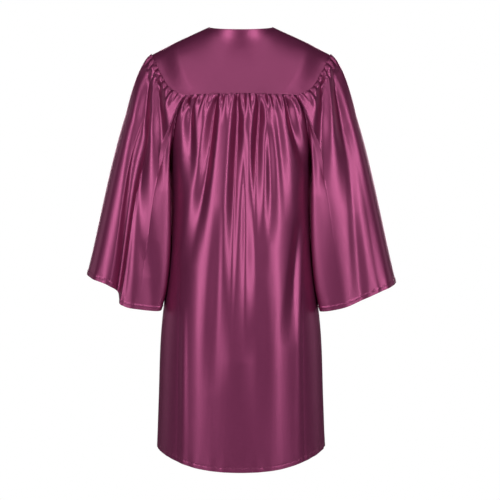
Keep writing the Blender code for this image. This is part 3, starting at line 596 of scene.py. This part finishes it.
def panel_row(armhole, seam_drop, limits, height, shares):
    """One row of a panel of the body before its folds, level at its side edge."""
    corner = armhole[0].drop
    side_hem = hem_drop(side_angle(armhole, SIDE_HEM_DROP))
    down = (height - corner) / (side_hem - corner)
    edge = side_angle(armhole, height)
    first, last = limits(height, calm=True)
    shift_first, shift_last = np.subtract(limits(height), (first, last))
    angles = angles_round(height, first, last, shares)
    angles += shift_first * (1 - shares) ** CALM_POWER + shift_last * shares**CALM_POWER
    inward = (np.sin(angles) ** 2 - np.sin(edge) ** 2) / np.cos(edge) ** 2
    rise = (seam_drop - corner) * inward * (1 - down)
    dip = (hem_drop(angles) - hem_drop(edge)) * down
    return body_section(height + rise + dip, angles)


def back_limits(height, calm=False):
    """From the left side of the back round to its right side."""
    calm_edge = np.radians(read(BACK_CALM, "angle", height))
    edge = calm_edge if calm else side_angle(BACK_ARMHOLE, height)
    return edge, math.pi - edge


def front_limits(height, calm=False):
    """From the straight edge beside the zip round to the side."""
    gap = CHAIN_HALF_WIDTH + SEAM_GAP
    beside_zip = (gap / read(BODY, "half_width", height)) ** (SQUARENESS / 2)
    calm_edge = np.radians(read(FRONT_CALM, "angle", height))
    edge = calm_edge if calm else side_angle(FRONT_ARMHOLE, height)
    return beside_zip - math.pi / 2, edge


def back_row(height, shares):
    return panel_row(BACK_ARMHOLE, BACK_SEAM_DROP, back_limits, height, shares)


def front_row(height, shares):
    return panel_row(FRONT_ARMHOLE, FRONT_SEAM_DROP, front_limits, height, shares)


def back_panel():
    shares = evenly(BACK_GATHERS * COLUMNS_PER_GATHER)
    points = np.array([back_row(height, shares) for height in panel_heights(BACK_ARMHOLE)])
    drop = -points[..., 2]
    relief = gather_relief(shares, BACK_GATHERS, drop - drop[0])
    inside_ends = ease(np.minimum(shares, 1 - shares) / FLAT_ENDS)
    relief += fold_relief(BACK_FOLDS, points[..., 0], drop) * inside_ends
    points += outward(points) * relief[..., None]
    gap = side_gap(BACK_ARMHOLE)
    return draw_in(points, top=GATHERED_SEAM_GAP / 2, left=gap, right=gap)


def front_panel(folds):
    """The left front, from the zip round to the side seam. Its side stretch under the arm isn't gathered."""
    gathered = evenly(FRONT_GATHERS * COLUMNS_PER_GATHER, 0, FRONT_GATHERED_SHARE)
    plain = evenly(FRONT_SIDE_COLUMNS, FRONT_GATHERED_SHARE)[1:]
    shares = np.concatenate([gathered, plain])
    points = np.array([front_row(height, shares) for height in panel_heights(FRONT_ARMHOLE)])
    drop = -points[..., 2]
    along_seam = np.minimum(shares / FRONT_GATHERED_SHARE, 1)
    relief = gather_relief(along_seam, FRONT_GATHERS, drop - drop[0])
    in_front = ease(-points[..., 1] / HALF_CHANGE)
    relief += fold_relief(folds, points[..., 0], drop) * in_front
    past_zip = ease((points[..., 0] - CHAIN_HALF_WIDTH) / FLAT_BESIDE_ZIP)
    inside_side = ease((1 - shares) / FLAT_ENDS)
    points += outward(points) * (relief * past_zip * inside_side)[..., None]
    return draw_in(points, top=GATHERED_SEAM_GAP / 2, right=side_gap(FRONT_ARMHOLE))


def yoke_side(share):
    """The yokes' side edge, from the back corner at 0 over the shoulder tip to the front corner at 1."""
    rows = np.array(YOKE_SIDE)
    length = along_line(rows)
    tip = length[YOKE_TIP_ROW]
    at = np.where(share < 0.5, 2 * share * tip, tip + (2 * share - 1) * (length[-1] - tip))
    x, y, drop = (smooth_curve(length, rows[:, i], at) for i in range(3))
    return np.stack([x, y, -drop], axis=-1)


def patch(top, bottom, first, last):
    """A smooth surface between four edges: top and bottom run across, first and last run down."""
    u = evenly(len(top) - 1)[None, :, None]
    v = evenly(len(first) - 1)[:, None, None]
    corners = (1 - v) * ((1 - u) * top[0] + u * top[-1]) + v * ((1 - u) * bottom[0] + u * bottom[-1])
    points = (1 - v) * top[None] + v * bottom[None]
    points += (1 - u) * first[:, None] + u * last[:, None] - corners
    for _ in range(SMOOTHING_PASSES):
        around = points[:-2, 1:-1] + points[2:, 1:-1] + points[1:-1, :-2] + points[1:-1, 2:]
        points[1:-1, 1:-1] = around / 4
    return points


def crowned(points, ends, height):
    """Rounds a yoke over the shoulder and the back. Its edges stay where they are."""
    v = evenly(len(points) - 1)[:, None, None]
    rise = height[None, :, None] * ends[None, :, None] * np.sin(math.pi * v**CROWN_LEAN)
    return points + outward(points) * rise


def shoulder_line(share):
    """From the neck's corner at 0 to the shoulder tip at 1."""
    share = np.asarray(share)[:, None]
    neck, tip = np.array([NECK_HALF_WIDTH, 0, 0]), yoke_side(np.array([0.5]))[0]
    return neck + (tip - neck) * share


def back_yoke():
    u = evenly(YOKE_COLUMNS)
    shoulder_columns = round(YOKE_COLUMNS * SHOULDER_SHARE)
    shoulder = shoulder_line(evenly(shoulder_columns, 1, 0))
    turn = evenly(YOKE_COLUMNS - 2 * shoulder_columns, 0, math.pi)[1:-1]
    neck_half = np.array([NECK_HALF_WIDTH, BACK_NECK_DEPTH, -BACK_NECK_DROP])
    neck = neck_half * np.stack([np.cos(turn), np.sin(turn), np.sin(turn)], axis=-1)
    top = np.concatenate([shoulder, neck, shoulder[::-1] * OTHER_SIDE])
    bottom = back_row(BACK_ARMHOLE[0].drop, u)
    side = yoke_side(evenly(YOKE_ROWS, 0.5, 0))
    past_neck = ease((np.abs(2 * u - 1) - CROWN_STARTS) / CROWN_GROWS)
    height = BACK_CROWN + (SHOULDER_CROWN - BACK_CROWN) * past_neck
    ends = ease(np.minimum(u, 1 - u) / CROWN_SIDE)
    points = crowned(patch(top, bottom, side, side * OTHER_SIDE), ends, height)
    return draw_in(points, bottom=GATHERED_SEAM_GAP / 2)


def front_yoke():
    """The left front yoke, from the V neck and the zip out to its side edge."""
    u = evenly(FRONT_YOKE_COLUMNS)
    rows = np.array(V_NECK)
    v = evenly(V_NECK_ROWS, 0, len(rows) - 1)
    x, y, drop = (smooth_curve(np.arange(len(rows)), rows[:, i], v) for i in range(3))
    neck = np.stack([x, y, -drop], axis=-1)
    bottom = front_row(FRONT_ARMHOLE[0].drop, u)
    beside_zip = neck[-1] + (bottom[0] - neck[-1]) * evenly(YOKE_ROWS - V_NECK_ROWS)[1:, None]
    side = yoke_side(evenly(YOKE_ROWS, 0.5, 1))
    points = patch(shoulder_line(u), bottom, np.concatenate([neck, beside_zip]), side)
    ends = ease((1 - u) / CROWN_FRONT_SIDE) * ease(u / CROWN_NECK)
    height = BACK_CROWN + (SHOULDER_CROWN - BACK_CROWN) * ease(u * 2)
    points = crowned(points, ends, height)
    return draw_in(points, bottom=GATHERED_SEAM_GAP / 2)


def armhole_edge(armhole):
    """The plain edge of a panel from its yoke's corner down to the underarm, at the panel's own rows."""
    heights = panel_heights(armhole)[: UNDERARM_ROWS + 1]
    points = body_section(heights, side_angle(armhole, heights))
    length = along_line(points)
    return points, length / length[-1]


def vectors(table, shares):
    x, y, drop = (read(table, name, shares) for name in ("x", "y", "drop"))
    return np.stack([x, y, -drop], axis=-1)


def sleeve(cuff, folds):
    """The left sleeve, round from the underarm by the back and the shoulder tip to the front."""
    back_edge, back_length = armhole_edge(BACK_ARMHOLE)
    front_edge, front_length = armhole_edge(FRONT_ARMHOLE)
    back_side = evenly(SLEEVE_BACK_GATHERS * COLUMNS_PER_GATHER, 0, 0.5)[1:]
    front_side = evenly(SLEEVE_FRONT_GATHERS * COLUMNS_PER_GATHER, 0.5)[1:]
    side = np.concatenate([back_side, front_side])
    armhole = np.concatenate([back_edge[::-1], yoke_side(side), front_edge[1:]])
    plain = YOKE_CORNER_SHARE
    under_back = plain * (1 - back_length[::-1])
    under_front = 1 - plain * (1 - front_length[1:])
    shares = np.concatenate([under_back, plain + (1 - 2 * plain) * side, under_front])
    v = row_shares(SLEEVE_ROWS, SLEEVE_ROWS_LEAN, SLEEVE_HEM_SHARE)[:, None]
    near, far = (2 * v**3 - 3 * v**2 + 1)[..., None], (3 * v**2 - 2 * v**3)[..., None]
    leaving, arriving = (v**3 - 2 * v**2 + v)[..., None], (v**3 - v**2)[..., None]
    points = near * armhole + leaving * vectors(ARMHOLE_LEAVING, shares)
    points += far * vectors(cuff, shares) + arriving * vectors(CUFF_ARRIVING, shares)
    along_yoke = np.clip((shares - plain) / (1 - 2 * plain), 0, 1)
    puff = SLEEVE_HEAD_PUFF * np.sin(math.pi * np.clip(v / SLEEVE_HEAD_REACH, 0, 1) ** SLEEVE_HEAD_SWELL)
    relief = puff * ease(np.minimum(along_yoke, 1 - along_yoke) / SLEEVE_HEAD_ENDS)
    down = v * SLEEVE_LENGTH
    back_share = np.minimum(along_yoke * 2, 1)
    front_share = np.maximum(along_yoke * 2 - 1, 0)
    relief += SLEEVE_GATHER_SHARE * gather_relief(back_share, SLEEVE_BACK_GATHERS, down)
    relief += SLEEVE_GATHER_SHARE * gather_relief(front_share, SLEEVE_FRONT_GATHERS, down)
    x, y, drop = points[..., 0], points[..., 1], -points[..., 2]
    clear_of_seam = ease(v / CLEAR_OF_SEAM)
    relief += fold_relief(folds, x, drop) * ease(y / HALF_CHANGE) * clear_of_seam
    relief += fold_relief(SLEEVE_FRONT_FOLDS, x, drop) * ease(-y / HALF_CHANGE) * clear_of_seam
    points -= outward(points, closed=True) * relief[..., None]
    return draw_in(points, top=SLEEVE_SEAM_GAP)


def zip_strip(half_width, first_drop, last_drop, inset, columns):
    """A strip down the middle of the front, inset from the outside of the cloth."""
    x = evenly(columns, -half_width, half_width)
    drop = evenly(ZIP_ROWS, first_drop, last_drop)[:, None]
    y = inset - read(BODY, "front_depth", drop)
    return np.stack(np.broadcast_arrays(x, y, -drop), axis=-1)


def along_grid(points, axis):
    """How far each point of a grid is along the cloth, from the first row or the first column."""
    steps = np.linalg.norm(np.diff(points, axis=axis), axis=2)
    start = np.zeros_like(np.take(steps, [0], axis=axis))
    return np.concatenate([start, np.cumsum(steps, axis=axis)], axis=axis)


def ripples(across, down, seed, size):
    """Faint uneven creases of about one height, width and length."""
    draw = np.random.default_rng(seed + size.seed)
    total = np.zeros(np.broadcast(across, down).shape)
    for _ in range(size.waves):
        turn = 2 * math.pi / (size.width * draw.uniform(*RIPPLE_SPREAD))
        climb = 2 * math.pi / (size.length * draw.uniform(*RIPPLE_SPREAD)) * draw.choice([-1, 1])
        total += np.sin(turn * across + climb * down + draw.uniform(0, 2 * math.pi))
    return size.height * total / math.sqrt(size.waves)


def groove(distance, at, width):
    """1 along a line of sewing and 0 away from it."""
    return np.exp(-(((distance - at) / width) ** 2))


def wrinkle(points, seed, seams, datum, closed, yoke):
    """Adds a cloth's fine form to its points: ripples, puckers along the sewing and the hem's fold."""
    across, down = along_grid(points, 1), along_grid(points, 0)
    left, right = across, across[:, -1:] - across
    from_hem = down[-1:] - down
    middle = round((points.shape[1] - 1) * datum)
    across = across - across[:, middle : middle + 1]
    along_thread = across.mean(axis=0, keepdims=True)
    if yoke:
        relief = ripples(along_thread, down, seed, YOKE_RIPPLE)
        relief += ripples(down, along_thread, seed, YOKE_CROSS_RIPPLE)
    else:
        relief = ripples(along_thread, down, seed, CLOTH_RIPPLE)
        relief += ripples(along_thread, down, seed, CLOTH_FINE_RIPPLE)
    if closed:
        relief *= ease(np.minimum(left, right) / TUBE_BLEND)
    edges = {"top": down, "bottom": from_hem, "left": left, "right": right}
    for name in seams:
        distance = edges[name]
        run = across if name in ("top", "bottom") else down
        pucker = 1 + ripples(run, 0 * distance, seed, SEAM_PUCKER)
        sink = TOP_SEAM_SINK if name == "top" else SEAM_SINK
        relief -= sink * groove(distance, 0, SEAM_SINK_REACH) * pucker
    if not yoke:
        pucker = 1 + ripples(across, 0 * down, seed, HEM_PUCKER)
        relief -= STITCH_SINK * groove(from_hem, HEM_BAND, STITCH_SINK_REACH) * pucker
        wave = ripples(across, 0 * down, seed, HEM_WAVE)
        inside_ends = ease(np.minimum(left, right) / HEM_WAVE_ENDS)
        relief += wave * groove(from_hem, 0, HEM_WAVE_REACH) * inside_ends
    return points + out_of_cloth(points, closed) * relief[..., None]


def out_of_cloth(points, closed):
    """The way out of a finished cloth. The columns of a closed one run the other way round."""
    return outward(points, closed) * (-1 if closed else 1)


def quads(*corners):
    """Faces of four corners, from a grid of indices for each corner."""
    return np.stack(corners, axis=-1).reshape(-1, 4)


def shell(name, points, material, closed=False, hem=False, wall=CLOTH_WALL):
    """A wall of cloth behind a grid of outside points, thicker where its hem is turned up."""
    rows, columns = points.shape[:2]
    thickness = np.full((rows, columns), wall)
    if hem:
        from_hem = along_grid(points[::-1], 0)[::-1]
        thickness += wall * (1 - ease((from_hem - HEM_BAND) / HEM_STEP))
    inner = points - out_of_cloth(points, closed) * thickness[..., None]
    across, down = along_grid(points, 1), along_grid(points, 0)
    if closed:
        columns -= 1
        points, inner = points[:, :-1], inner[:, :-1]
    index = np.arange(rows * columns).reshape(rows, columns)
    far = index + rows * columns
    here = index if closed else index[:, :-1]
    step = np.roll(index, -1, axis=1) if closed else index[:, 1:]
    here_far = here + rows * columns
    step_far = step + rows * columns
    faces = [
        quads(here[:-1], here[1:], step[1:], step[:-1]),
        quads(here_far[:-1], step_far[:-1], step_far[1:], here_far[1:]),
        quads(here[0], step[0], step_far[0], here_far[0]),
        quads(here[-1], here_far[-1], step_far[-1], step[-1]),
    ]
    if not closed:
        faces.append(quads(index[:-1, 0], far[:-1, 0], far[1:, 0], index[1:, 0]))
        faces.append(quads(index[:-1, -1], index[1:, -1], far[1:, -1], far[:-1, -1]))
    faces = np.concatenate(faces)[:, :: -1 if closed else 1]
    mesh = bpy.data.meshes.new(name)
    mesh.from_pydata(np.concatenate([points, inner]).reshape(-1, 3).tolist(), [], faces.tolist())
    places = np.stack([across, down], axis=-1)[:, :columns].reshape(-1, 2)
    flat = np.concatenate([places, places])[faces.reshape(-1)].reshape(-1, 4, 2)
    if closed:
        girth = float(across.mean(axis=0)[-1])
        wraps = np.ptp(flat[..., 0], axis=1) > girth / 2
        low = flat[..., 0] < girth / 2
        flat[..., 0] += np.where(wraps[:, None] & low, girth, 0)
    mesh.uv_layers.new(name="cloth").data.foreach_set("uv", flat.reshape(-1).astype(np.float32))
    return add_piece(name, mesh, material)


def add_piece(name, mesh, material):
    """A smooth mesh in one material, which rides on the gown."""
    mesh.polygons.foreach_set("use_smooth", np.ones(len(mesh.polygons), bool))
    mesh.set_sharp_from_angle(angle=SHARP_ANGLE)
    mesh.materials.append(material)
    piece = bpy.data.objects.new(name, mesh)
    bpy.context.scene.collection.objects.link(piece)
    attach(piece, "gown")
    return piece


def seam_line(points, normals, edge, distance):
    """The line that runs this far in from an edge of a cloth, with the way out at each point."""
    if edge in ("left", "right"):
        points, normals = points.swapaxes(0, 1), normals.swapaxes(0, 1)
    if edge in ("bottom", "right"):
        points, normals = points[::-1], normals[::-1]
    far = along_grid(points, 0)
    after = np.argmax(far > distance, axis=0)
    column = np.arange(points.shape[1])
    near_side, far_side = far[after - 1, column], far[after, column]
    share = ((distance - near_side) / (far_side - near_side))[:, None]
    line = points[after - 1, column] * (1 - share) + points[after, column] * share
    return line, normals[after, column]


def grains(name, places, alongs, outs, size, material):
    """Small rounded grains, such as stitches and teeth: one mesh with a grain at each place."""
    length, width, height = size
    turns = np.arange(GRAIN_SIDES) * 2 * math.pi / GRAIN_SIDES
    ring = np.stack([0 * turns, np.cos(turns) * width / 2, np.sin(turns) * height / 2], axis=-1)
    shape = np.concatenate([ring * share + [at * length, 0, 0] for at, share in GRAIN_RINGS])
    index = np.arange(len(shape)).reshape(-1, GRAIN_SIDES)
    turned = np.roll(index, -1, axis=1)
    faces = quads(index[:-1], turned[:-1], turned[1:], index[1:]).tolist()
    faces += [index[0, ::-1].tolist(), index[-1].tolist()]
    alongs = alongs / np.linalg.norm(alongs, axis=1, keepdims=True)
    sides = np.cross(outs, alongs)
    sides /= np.linalg.norm(sides, axis=1, keepdims=True)
    ups = np.cross(alongs, sides)
    corners = (
        places[:, None]
        + shape[None, :, :1] * alongs[:, None]
        + shape[None, :, 1:2] * sides[:, None]
        + shape[None, :, 2:] * ups[:, None]
    ).reshape(-1, 3)
    every = []
    for shift in range(0, len(corners), len(shape)):
        every += [[shift + corner for corner in face] for face in faces]
    mesh = bpy.data.meshes.new(name)
    mesh.from_pydata(corners.tolist(), [], every)
    return add_piece(name, mesh, material)


def stitches(name, lines, material):
    """Rows of sewing along lines that lie on a cloth."""
    places, alongs, outs = [], [], []
    for line, out in lines:
        length = along_line(line)
        count = int(length[-1] / STITCH_PITCH)
        at = (np.arange(count) + 0.5) * length[-1] / count
        spots = np.stack([np.interp(at, length, line[:, i]) for i in range(3)], axis=-1)
        up = np.stack([np.interp(at, length, out[:, i]) for i in range(3)], axis=-1)
        up /= np.linalg.norm(up, axis=1, keepdims=True)
        places.append(spots + up * STITCH_SIZE[2] * STITCH_RISE)
        alongs.append(np.gradient(spots, axis=0))
        outs.append(up)
    places, alongs, outs = (np.concatenate(rows) for rows in (places, alongs, outs))
    return grains(name, places, alongs, outs, STITCH_SIZE, material)


def node_graph(name):
    """A new material with its node tree and its shader's sockets."""
    material = bpy.data.materials.new(name)
    material.use_nodes = True
    graph = material.node_tree
    return material, graph, graph.nodes["Principled BSDF"].inputs


def texture(graph, kind, vector, **settings):
    """The values of a texture node, with its sockets and options set."""
    node = graph.nodes.new(kind)
    graph.links.new(vector, node.inputs["Vector"])
    for key, value in settings.items():
        if key in node.inputs:
            node.inputs[key].default_value = value
        else:
            setattr(node, key, value)
    return node.outputs["Fac"]


def object_places(graph):
    return graph.nodes.new("ShaderNodeTexCoord").outputs["Object"]


def scaled(graph, vector, scale):
    mapping = graph.nodes.new("ShaderNodeMapping")
    mapping.inputs["Scale"].default_value = scale
    graph.links.new(vector, mapping.inputs["Vector"])
    return mapping.outputs["Vector"]


def bump(graph, height, size, normal=None):
    """A fine relief of one strength and depth, over another one if that is given."""
    node = graph.nodes.new("ShaderNodeBump")
    node.inputs["Strength"].default_value, node.inputs["Distance"].default_value = size
    graph.links.new(height, node.inputs["Height"])
    if normal:
        graph.links.new(normal, node.inputs["Normal"])
    return node.outputs["Normal"]


def mixed(graph, factor, first, second):
    node = graph.nodes.new("ShaderNodeMix")
    node.data_type = "RGBA"
    graph.links.new(factor, node.inputs["Factor"])
    for socket, colour in zip(MIX_COLOURS, (first, second)):
        node.inputs[socket].default_value = colour
    return node.outputs[MIXED_COLOUR]


def halfway(graph, first, second):
    """The value halfway between two."""
    node = graph.nodes.new("ShaderNodeMix")
    for socket, value in zip(MIX_VALUES, (first, second)):
        graph.links.new(value, node.inputs[socket])
    return node.outputs[0]


def ranged(graph, value, source=(0, 1), target=(0, 1)):
    """A value moved from one range to another."""
    node = graph.nodes.new("ShaderNodeMapRange")
    node.inputs["From Min"].default_value, node.inputs["From Max"].default_value = source
    node.inputs["To Min"].default_value, node.inputs["To Max"].default_value = target
    graph.links.new(value, node.inputs["Value"])
    return node.outputs["Result"]


def satin_cloth():
    """Maroon satin: smooth floating threads one way, a faint slub the other, soft gloss."""
    material, graph, surface = node_graph("satin_cloth")
    place = graph.nodes.new("ShaderNodeUVMap")
    place.uv_map = "cloth"
    where = place.outputs["UV"]

    tint = texture(graph, "ShaderNodeTexNoise", object_places(graph), Scale=TINT_SCALE, Detail=3.0)
    across = scaled(graph, where, SLUB_SCALE)
    slub = texture(graph, "ShaderNodeTexNoise", across, Scale=1.0, Detail=2.0)
    colour = mixed(graph, halfway(graph, tint, slub), SATIN_DARK, SATIN_LIGHT)
    graph.links.new(colour, surface["Base Color"])
    spread = (SATIN_ROUGHNESS - SATIN_ROUGHNESS_SPREAD, SATIN_ROUGHNESS + SATIN_ROUGHNESS_SPREAD)
    graph.links.new(ranged(graph, slub, target=spread), surface["Roughness"])

    soft = scaled(graph, where, CRUMPLE_SCALE)
    crumple = texture(graph, "ShaderNodeTexNoise", soft, Scale=1.0, Detail=3.0)
    threads = texture(graph, "ShaderNodeTexWave", where, Scale=THREAD_SCALE, Distortion=1.2, Detail=1.0)
    relief = bump(graph, crumple, CRUMPLE_BUMP)
    relief = bump(graph, threads, THREAD_BUMP, relief)
    relief = bump(graph, slub, SLUB_BUMP, relief)
    graph.links.new(relief, surface["Normal"])
    surface["Metallic"].default_value = SATIN_METALLIC
    surface["Coat Weight"].default_value = SATIN_GLOSS
    surface["Coat Roughness"].default_value = SATIN_GLOSS_ROUGHNESS
    surface["Specular IOR Level"].default_value = SATIN_SPECULAR
    surface["Specular Tint"].default_value = SATIN_SPECULAR_TINT
    return material


def grained(name, finish, kind, **settings):
    """A material whose grain varies its colour and stands a little out of its surface."""
    material, graph, surface = node_graph(name)
    grain = texture(graph, kind, object_places(graph), Scale=finish.scale, **settings)
    graph.links.new(mixed(graph, grain, finish.dark, finish.light), surface["Base Color"])
    graph.links.new(bump(graph, grain, finish.bump), surface["Normal"])
    surface["Roughness"].default_value = finish.roughness
    return material


def thread():
    """Spun sewing thread, a shade lighter than the cloth, with its twist."""
    return grained("sewing_thread", SEWING, "ShaderNodeTexWave", Distortion=2.0, bands_direction="DIAGONAL")


def zip_cloth():
    """The zip's woven tape: a fine herringbone."""
    return grained("zip_tape_weave", TAPE, "ShaderNodeTexWave", Distortion=0.6, bands_direction="DIAGONAL")


def zip_plastic():
    """The zip's coil, moulded nylon."""
    return grained("zip_coil", COIL, "ShaderNodeTexNoise", Detail=2.0)


def enamel():
    """The slider and its pull: maroon enamel over metal, thinner and brighter where it has rubbed."""
    material, graph, surface = node_graph("enamelled_metal")
    rub = texture(graph, "ShaderNodeTexNoise", object_places(graph), Scale=ENAMEL.scale, Detail=4.0)
    colour = mixed(graph, ranged(graph, rub, source=ENAMEL_RUBBED), ENAMEL.dark, ENAMEL.light)
    graph.links.new(colour, surface["Base Color"])
    graph.links.new(ranged(graph, rub, target=ENAMEL.roughness), surface["Roughness"])
    graph.links.new(bump(graph, rub, ENAMEL.bump), surface["Normal"])
    surface["Metallic"].default_value = ENAMEL_METALLIC
    surface["Coat Weight"].default_value = ENAMEL_COAT
    return material


def floor_paint():
    """A pale matt floor, faintly mottled."""
    material, graph, surface = node_graph("pale_floor")
    mottle = texture(graph, "ShaderNodeTexNoise", object_places(graph), Scale=FLOOR_SCALE, Detail=2.0)
    graph.links.new(mixed(graph, mottle, FLOOR_DARK, FLOOR_LIGHT), surface["Base Color"])
    surface["Roughness"].default_value = FLOOR_ROUGHNESS
    return material


def hang_softbox(box):
    """A soft rectangular light, turned towards the gown."""
    light = bpy.data.lights.new(box.name, "AREA")
    light.shape = "RECTANGLE"
    light.size, light.size_y = box.size
    light.energy = box.power
    lamp = bpy.data.objects.new(box.name, light)
    lamp.location = box.place
    lamp.rotation_euler = (Vector(LIT_POINT) - Vector(box.place)).to_track_quat("-Z", "Y").to_euler()
    bpy.context.scene.collection.objects.link(lamp)


def light_room():
    """A room that is white to the camera and lights the gown only dimly."""
    world = bpy.data.worlds.new("studio")
    bpy.context.scene.world = world
    world.use_nodes = True
    graph = world.node_tree
    shown = graph.nodes["Background"]
    shown.inputs["Color"].default_value = WHITE
    dim = graph.nodes.new("ShaderNodeBackground")
    dim.inputs["Color"].default_value = WHITE
    dim.inputs["Strength"].default_value = ROOM_LIGHT
    choose = graph.nodes.new("ShaderNodeMixShader")
    path = graph.nodes.new("ShaderNodeLightPath")
    graph.links.new(path.outputs["Is Camera Ray"], choose.inputs[0])
    graph.links.new(dim.outputs[0], choose.inputs[1])
    graph.links.new(shown.outputs[0], choose.inputs[2])
    graph.links.new(choose.outputs[0], graph.nodes["World Output"].inputs["Surface"])


def lay_floor():
    """A round floor well below the hem."""
    mesh = bpy.data.meshes.new("floor")
    turn = np.arange(FLOOR_SIDES) * 2 * math.pi / FLOOR_SIDES
    x, y = np.cos(turn) * FLOOR_RADIUS, np.sin(turn) * FLOOR_RADIUS
    rim = np.stack([x, y, 0 * turn - FLOOR_DROP], axis=-1)
    mesh.from_pydata(rim.tolist(), [], [list(range(FLOOR_SIDES))])
    mesh.materials.append(floor_paint())
    floor = bpy.data.objects.new("floor", mesh)
    bpy.context.scene.collection.objects.link(floor)


def studio():
    """A camera behind the gown, softboxes round it, and a white room with a pale floor."""
    camera = bpy.data.objects.new("camera", bpy.data.cameras.new("camera"))
    camera.data.sensor_width = CAMERA_SENSOR
    camera.data.lens = CAMERA_LENS
    camera.location = CAMERA_PLACE
    camera.rotation_euler = (math.pi / 2, 0, math.pi)
    bpy.context.scene.collection.objects.link(camera)
    bpy.context.scene.camera = camera
    for box in SOFTBOXES:
        hang_softbox(box)
    light_room()
    lay_floor()
    bpy.context.scene.view_settings.view_transform = "Standard"


def facing(points, side):
    """A piece made for the left side, mirrored for the right one with its columns turned round."""
    return points if side.name == "left" else (points * OTHER_SIDE)[:, ::-1]


def finish_cloth(name, node, points, seams, sewn, materials, datum=0.5, closed=False, yoke=False):
    """One cloth over its node, with its fine form, its wall and its rows of stitches."""
    satin, sewing = materials
    shape = wrinkle(points, len(name) * SEED_STEP, seams, datum, closed, yoke)
    piece = shell(name, shape, satin, closed=closed, hem=not yoke)
    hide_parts(node)
    out = out_of_cloth(shape, closed)
    lines = [seam_line(shape, out, edge, distance) for edge, distance in sewn]
    rows = stitches(name + "_stitches", lines, sewing)


def dress():
    """Every cloth of the gown, with the sewing along its seams, neck, zip and hems."""
    looks = satin_cloth(), thread()
    along_yoke = ("bottom", YOKE_STITCH_IN)
    along_hem = ("bottom", HEM_BAND)
    name, seams = "back_yoke", ("bottom", "left", "right")
    finish_cloth(name + "_cloth", name, back_yoke(), seams, [along_yoke], looks, yoke=True)
    seams = ("top", "left", "right")
    finish_cloth("back_cloth", "back_panel", back_panel(), seams, [along_hem], looks)
    for side in SIDES:
        name, node = side.name + "_front_yoke_cloth", "front_yoke_" + side.name
        points = facing(front_yoke(), side)
        seams, sewn = ("bottom", side.outer), [along_yoke, (side.name, NECK_STITCH_IN)]
        finish_cloth(name, node, points, seams, sewn, looks, yoke=True)
    for side in SIDES:
        name, node = side.name + "_front_cloth", "front_" + side.name
        points = facing(front_panel(side.front_folds), side)
        seams, sewn = ("top", side.outer), [along_hem, (side.name, ZIP_STITCH_IN)]
        finish_cloth(name, node, points, seams, sewn, looks, datum=side.at_zip)
    for side in SIDES:
        name, node = side.name + "_sleeve_cloth", "sleeve_" + side.name
        points = facing(sleeve(side.cuff, side.sleeve_folds), side)[:, ::-1]
        finish_cloth(name, node, points, ("top",), [along_hem], looks, closed=True)


def dress_zip():
    """The zip's tape and teeth over their nodes, and enamel on its slider and pull."""
    top = FRONT_SEAM_DROP + ZIP_BELOW_EDGE
    bottom = SIDE_HEM_DROP + FRONT_HEM_DIP - ZIP_ABOVE_HEM
    strip = zip_strip(TAPE_HALF_WIDTH, top, bottom, WALL + 2 * SEAM_GAP, TAPE_COLUMNS)
    tape = shell("zip_tape_cloth", strip, zip_cloth(), wall=TAPE_CLOTH_WALL)
    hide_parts("zip_tape")
    first = V_NECK_DROP + ZIP_BELOW_EDGE
    count = int((bottom - first) / TOOTH_PITCH)
    drop = first + (np.arange(count) + 0.5) * TOOTH_PITCH
    y = TOOTH_INSET - read(BODY, "front_depth", drop)
    side = np.where(np.arange(count) % 2, 1.0, -1.0)
    places = np.stack([side * TOOTH_OFFSET, y, -drop], axis=-1)
    across = np.tile([1.0, 0.0, 0.0], (count, 1))
    out = np.tile([0.0, -1.0, 0.0], (count, 1))
    teeth = grains("zip_teeth", places, across, out, TOOTH_SIZE, zip_plastic())
    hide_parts("zip_chain")
    metal = enamel()
    for name in ("zip_slider", "zip_pull"):
        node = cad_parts[name]
        node.data.materials.clear()
        node.data.materials.append(metal)


studio()
dress()
dress_zip()
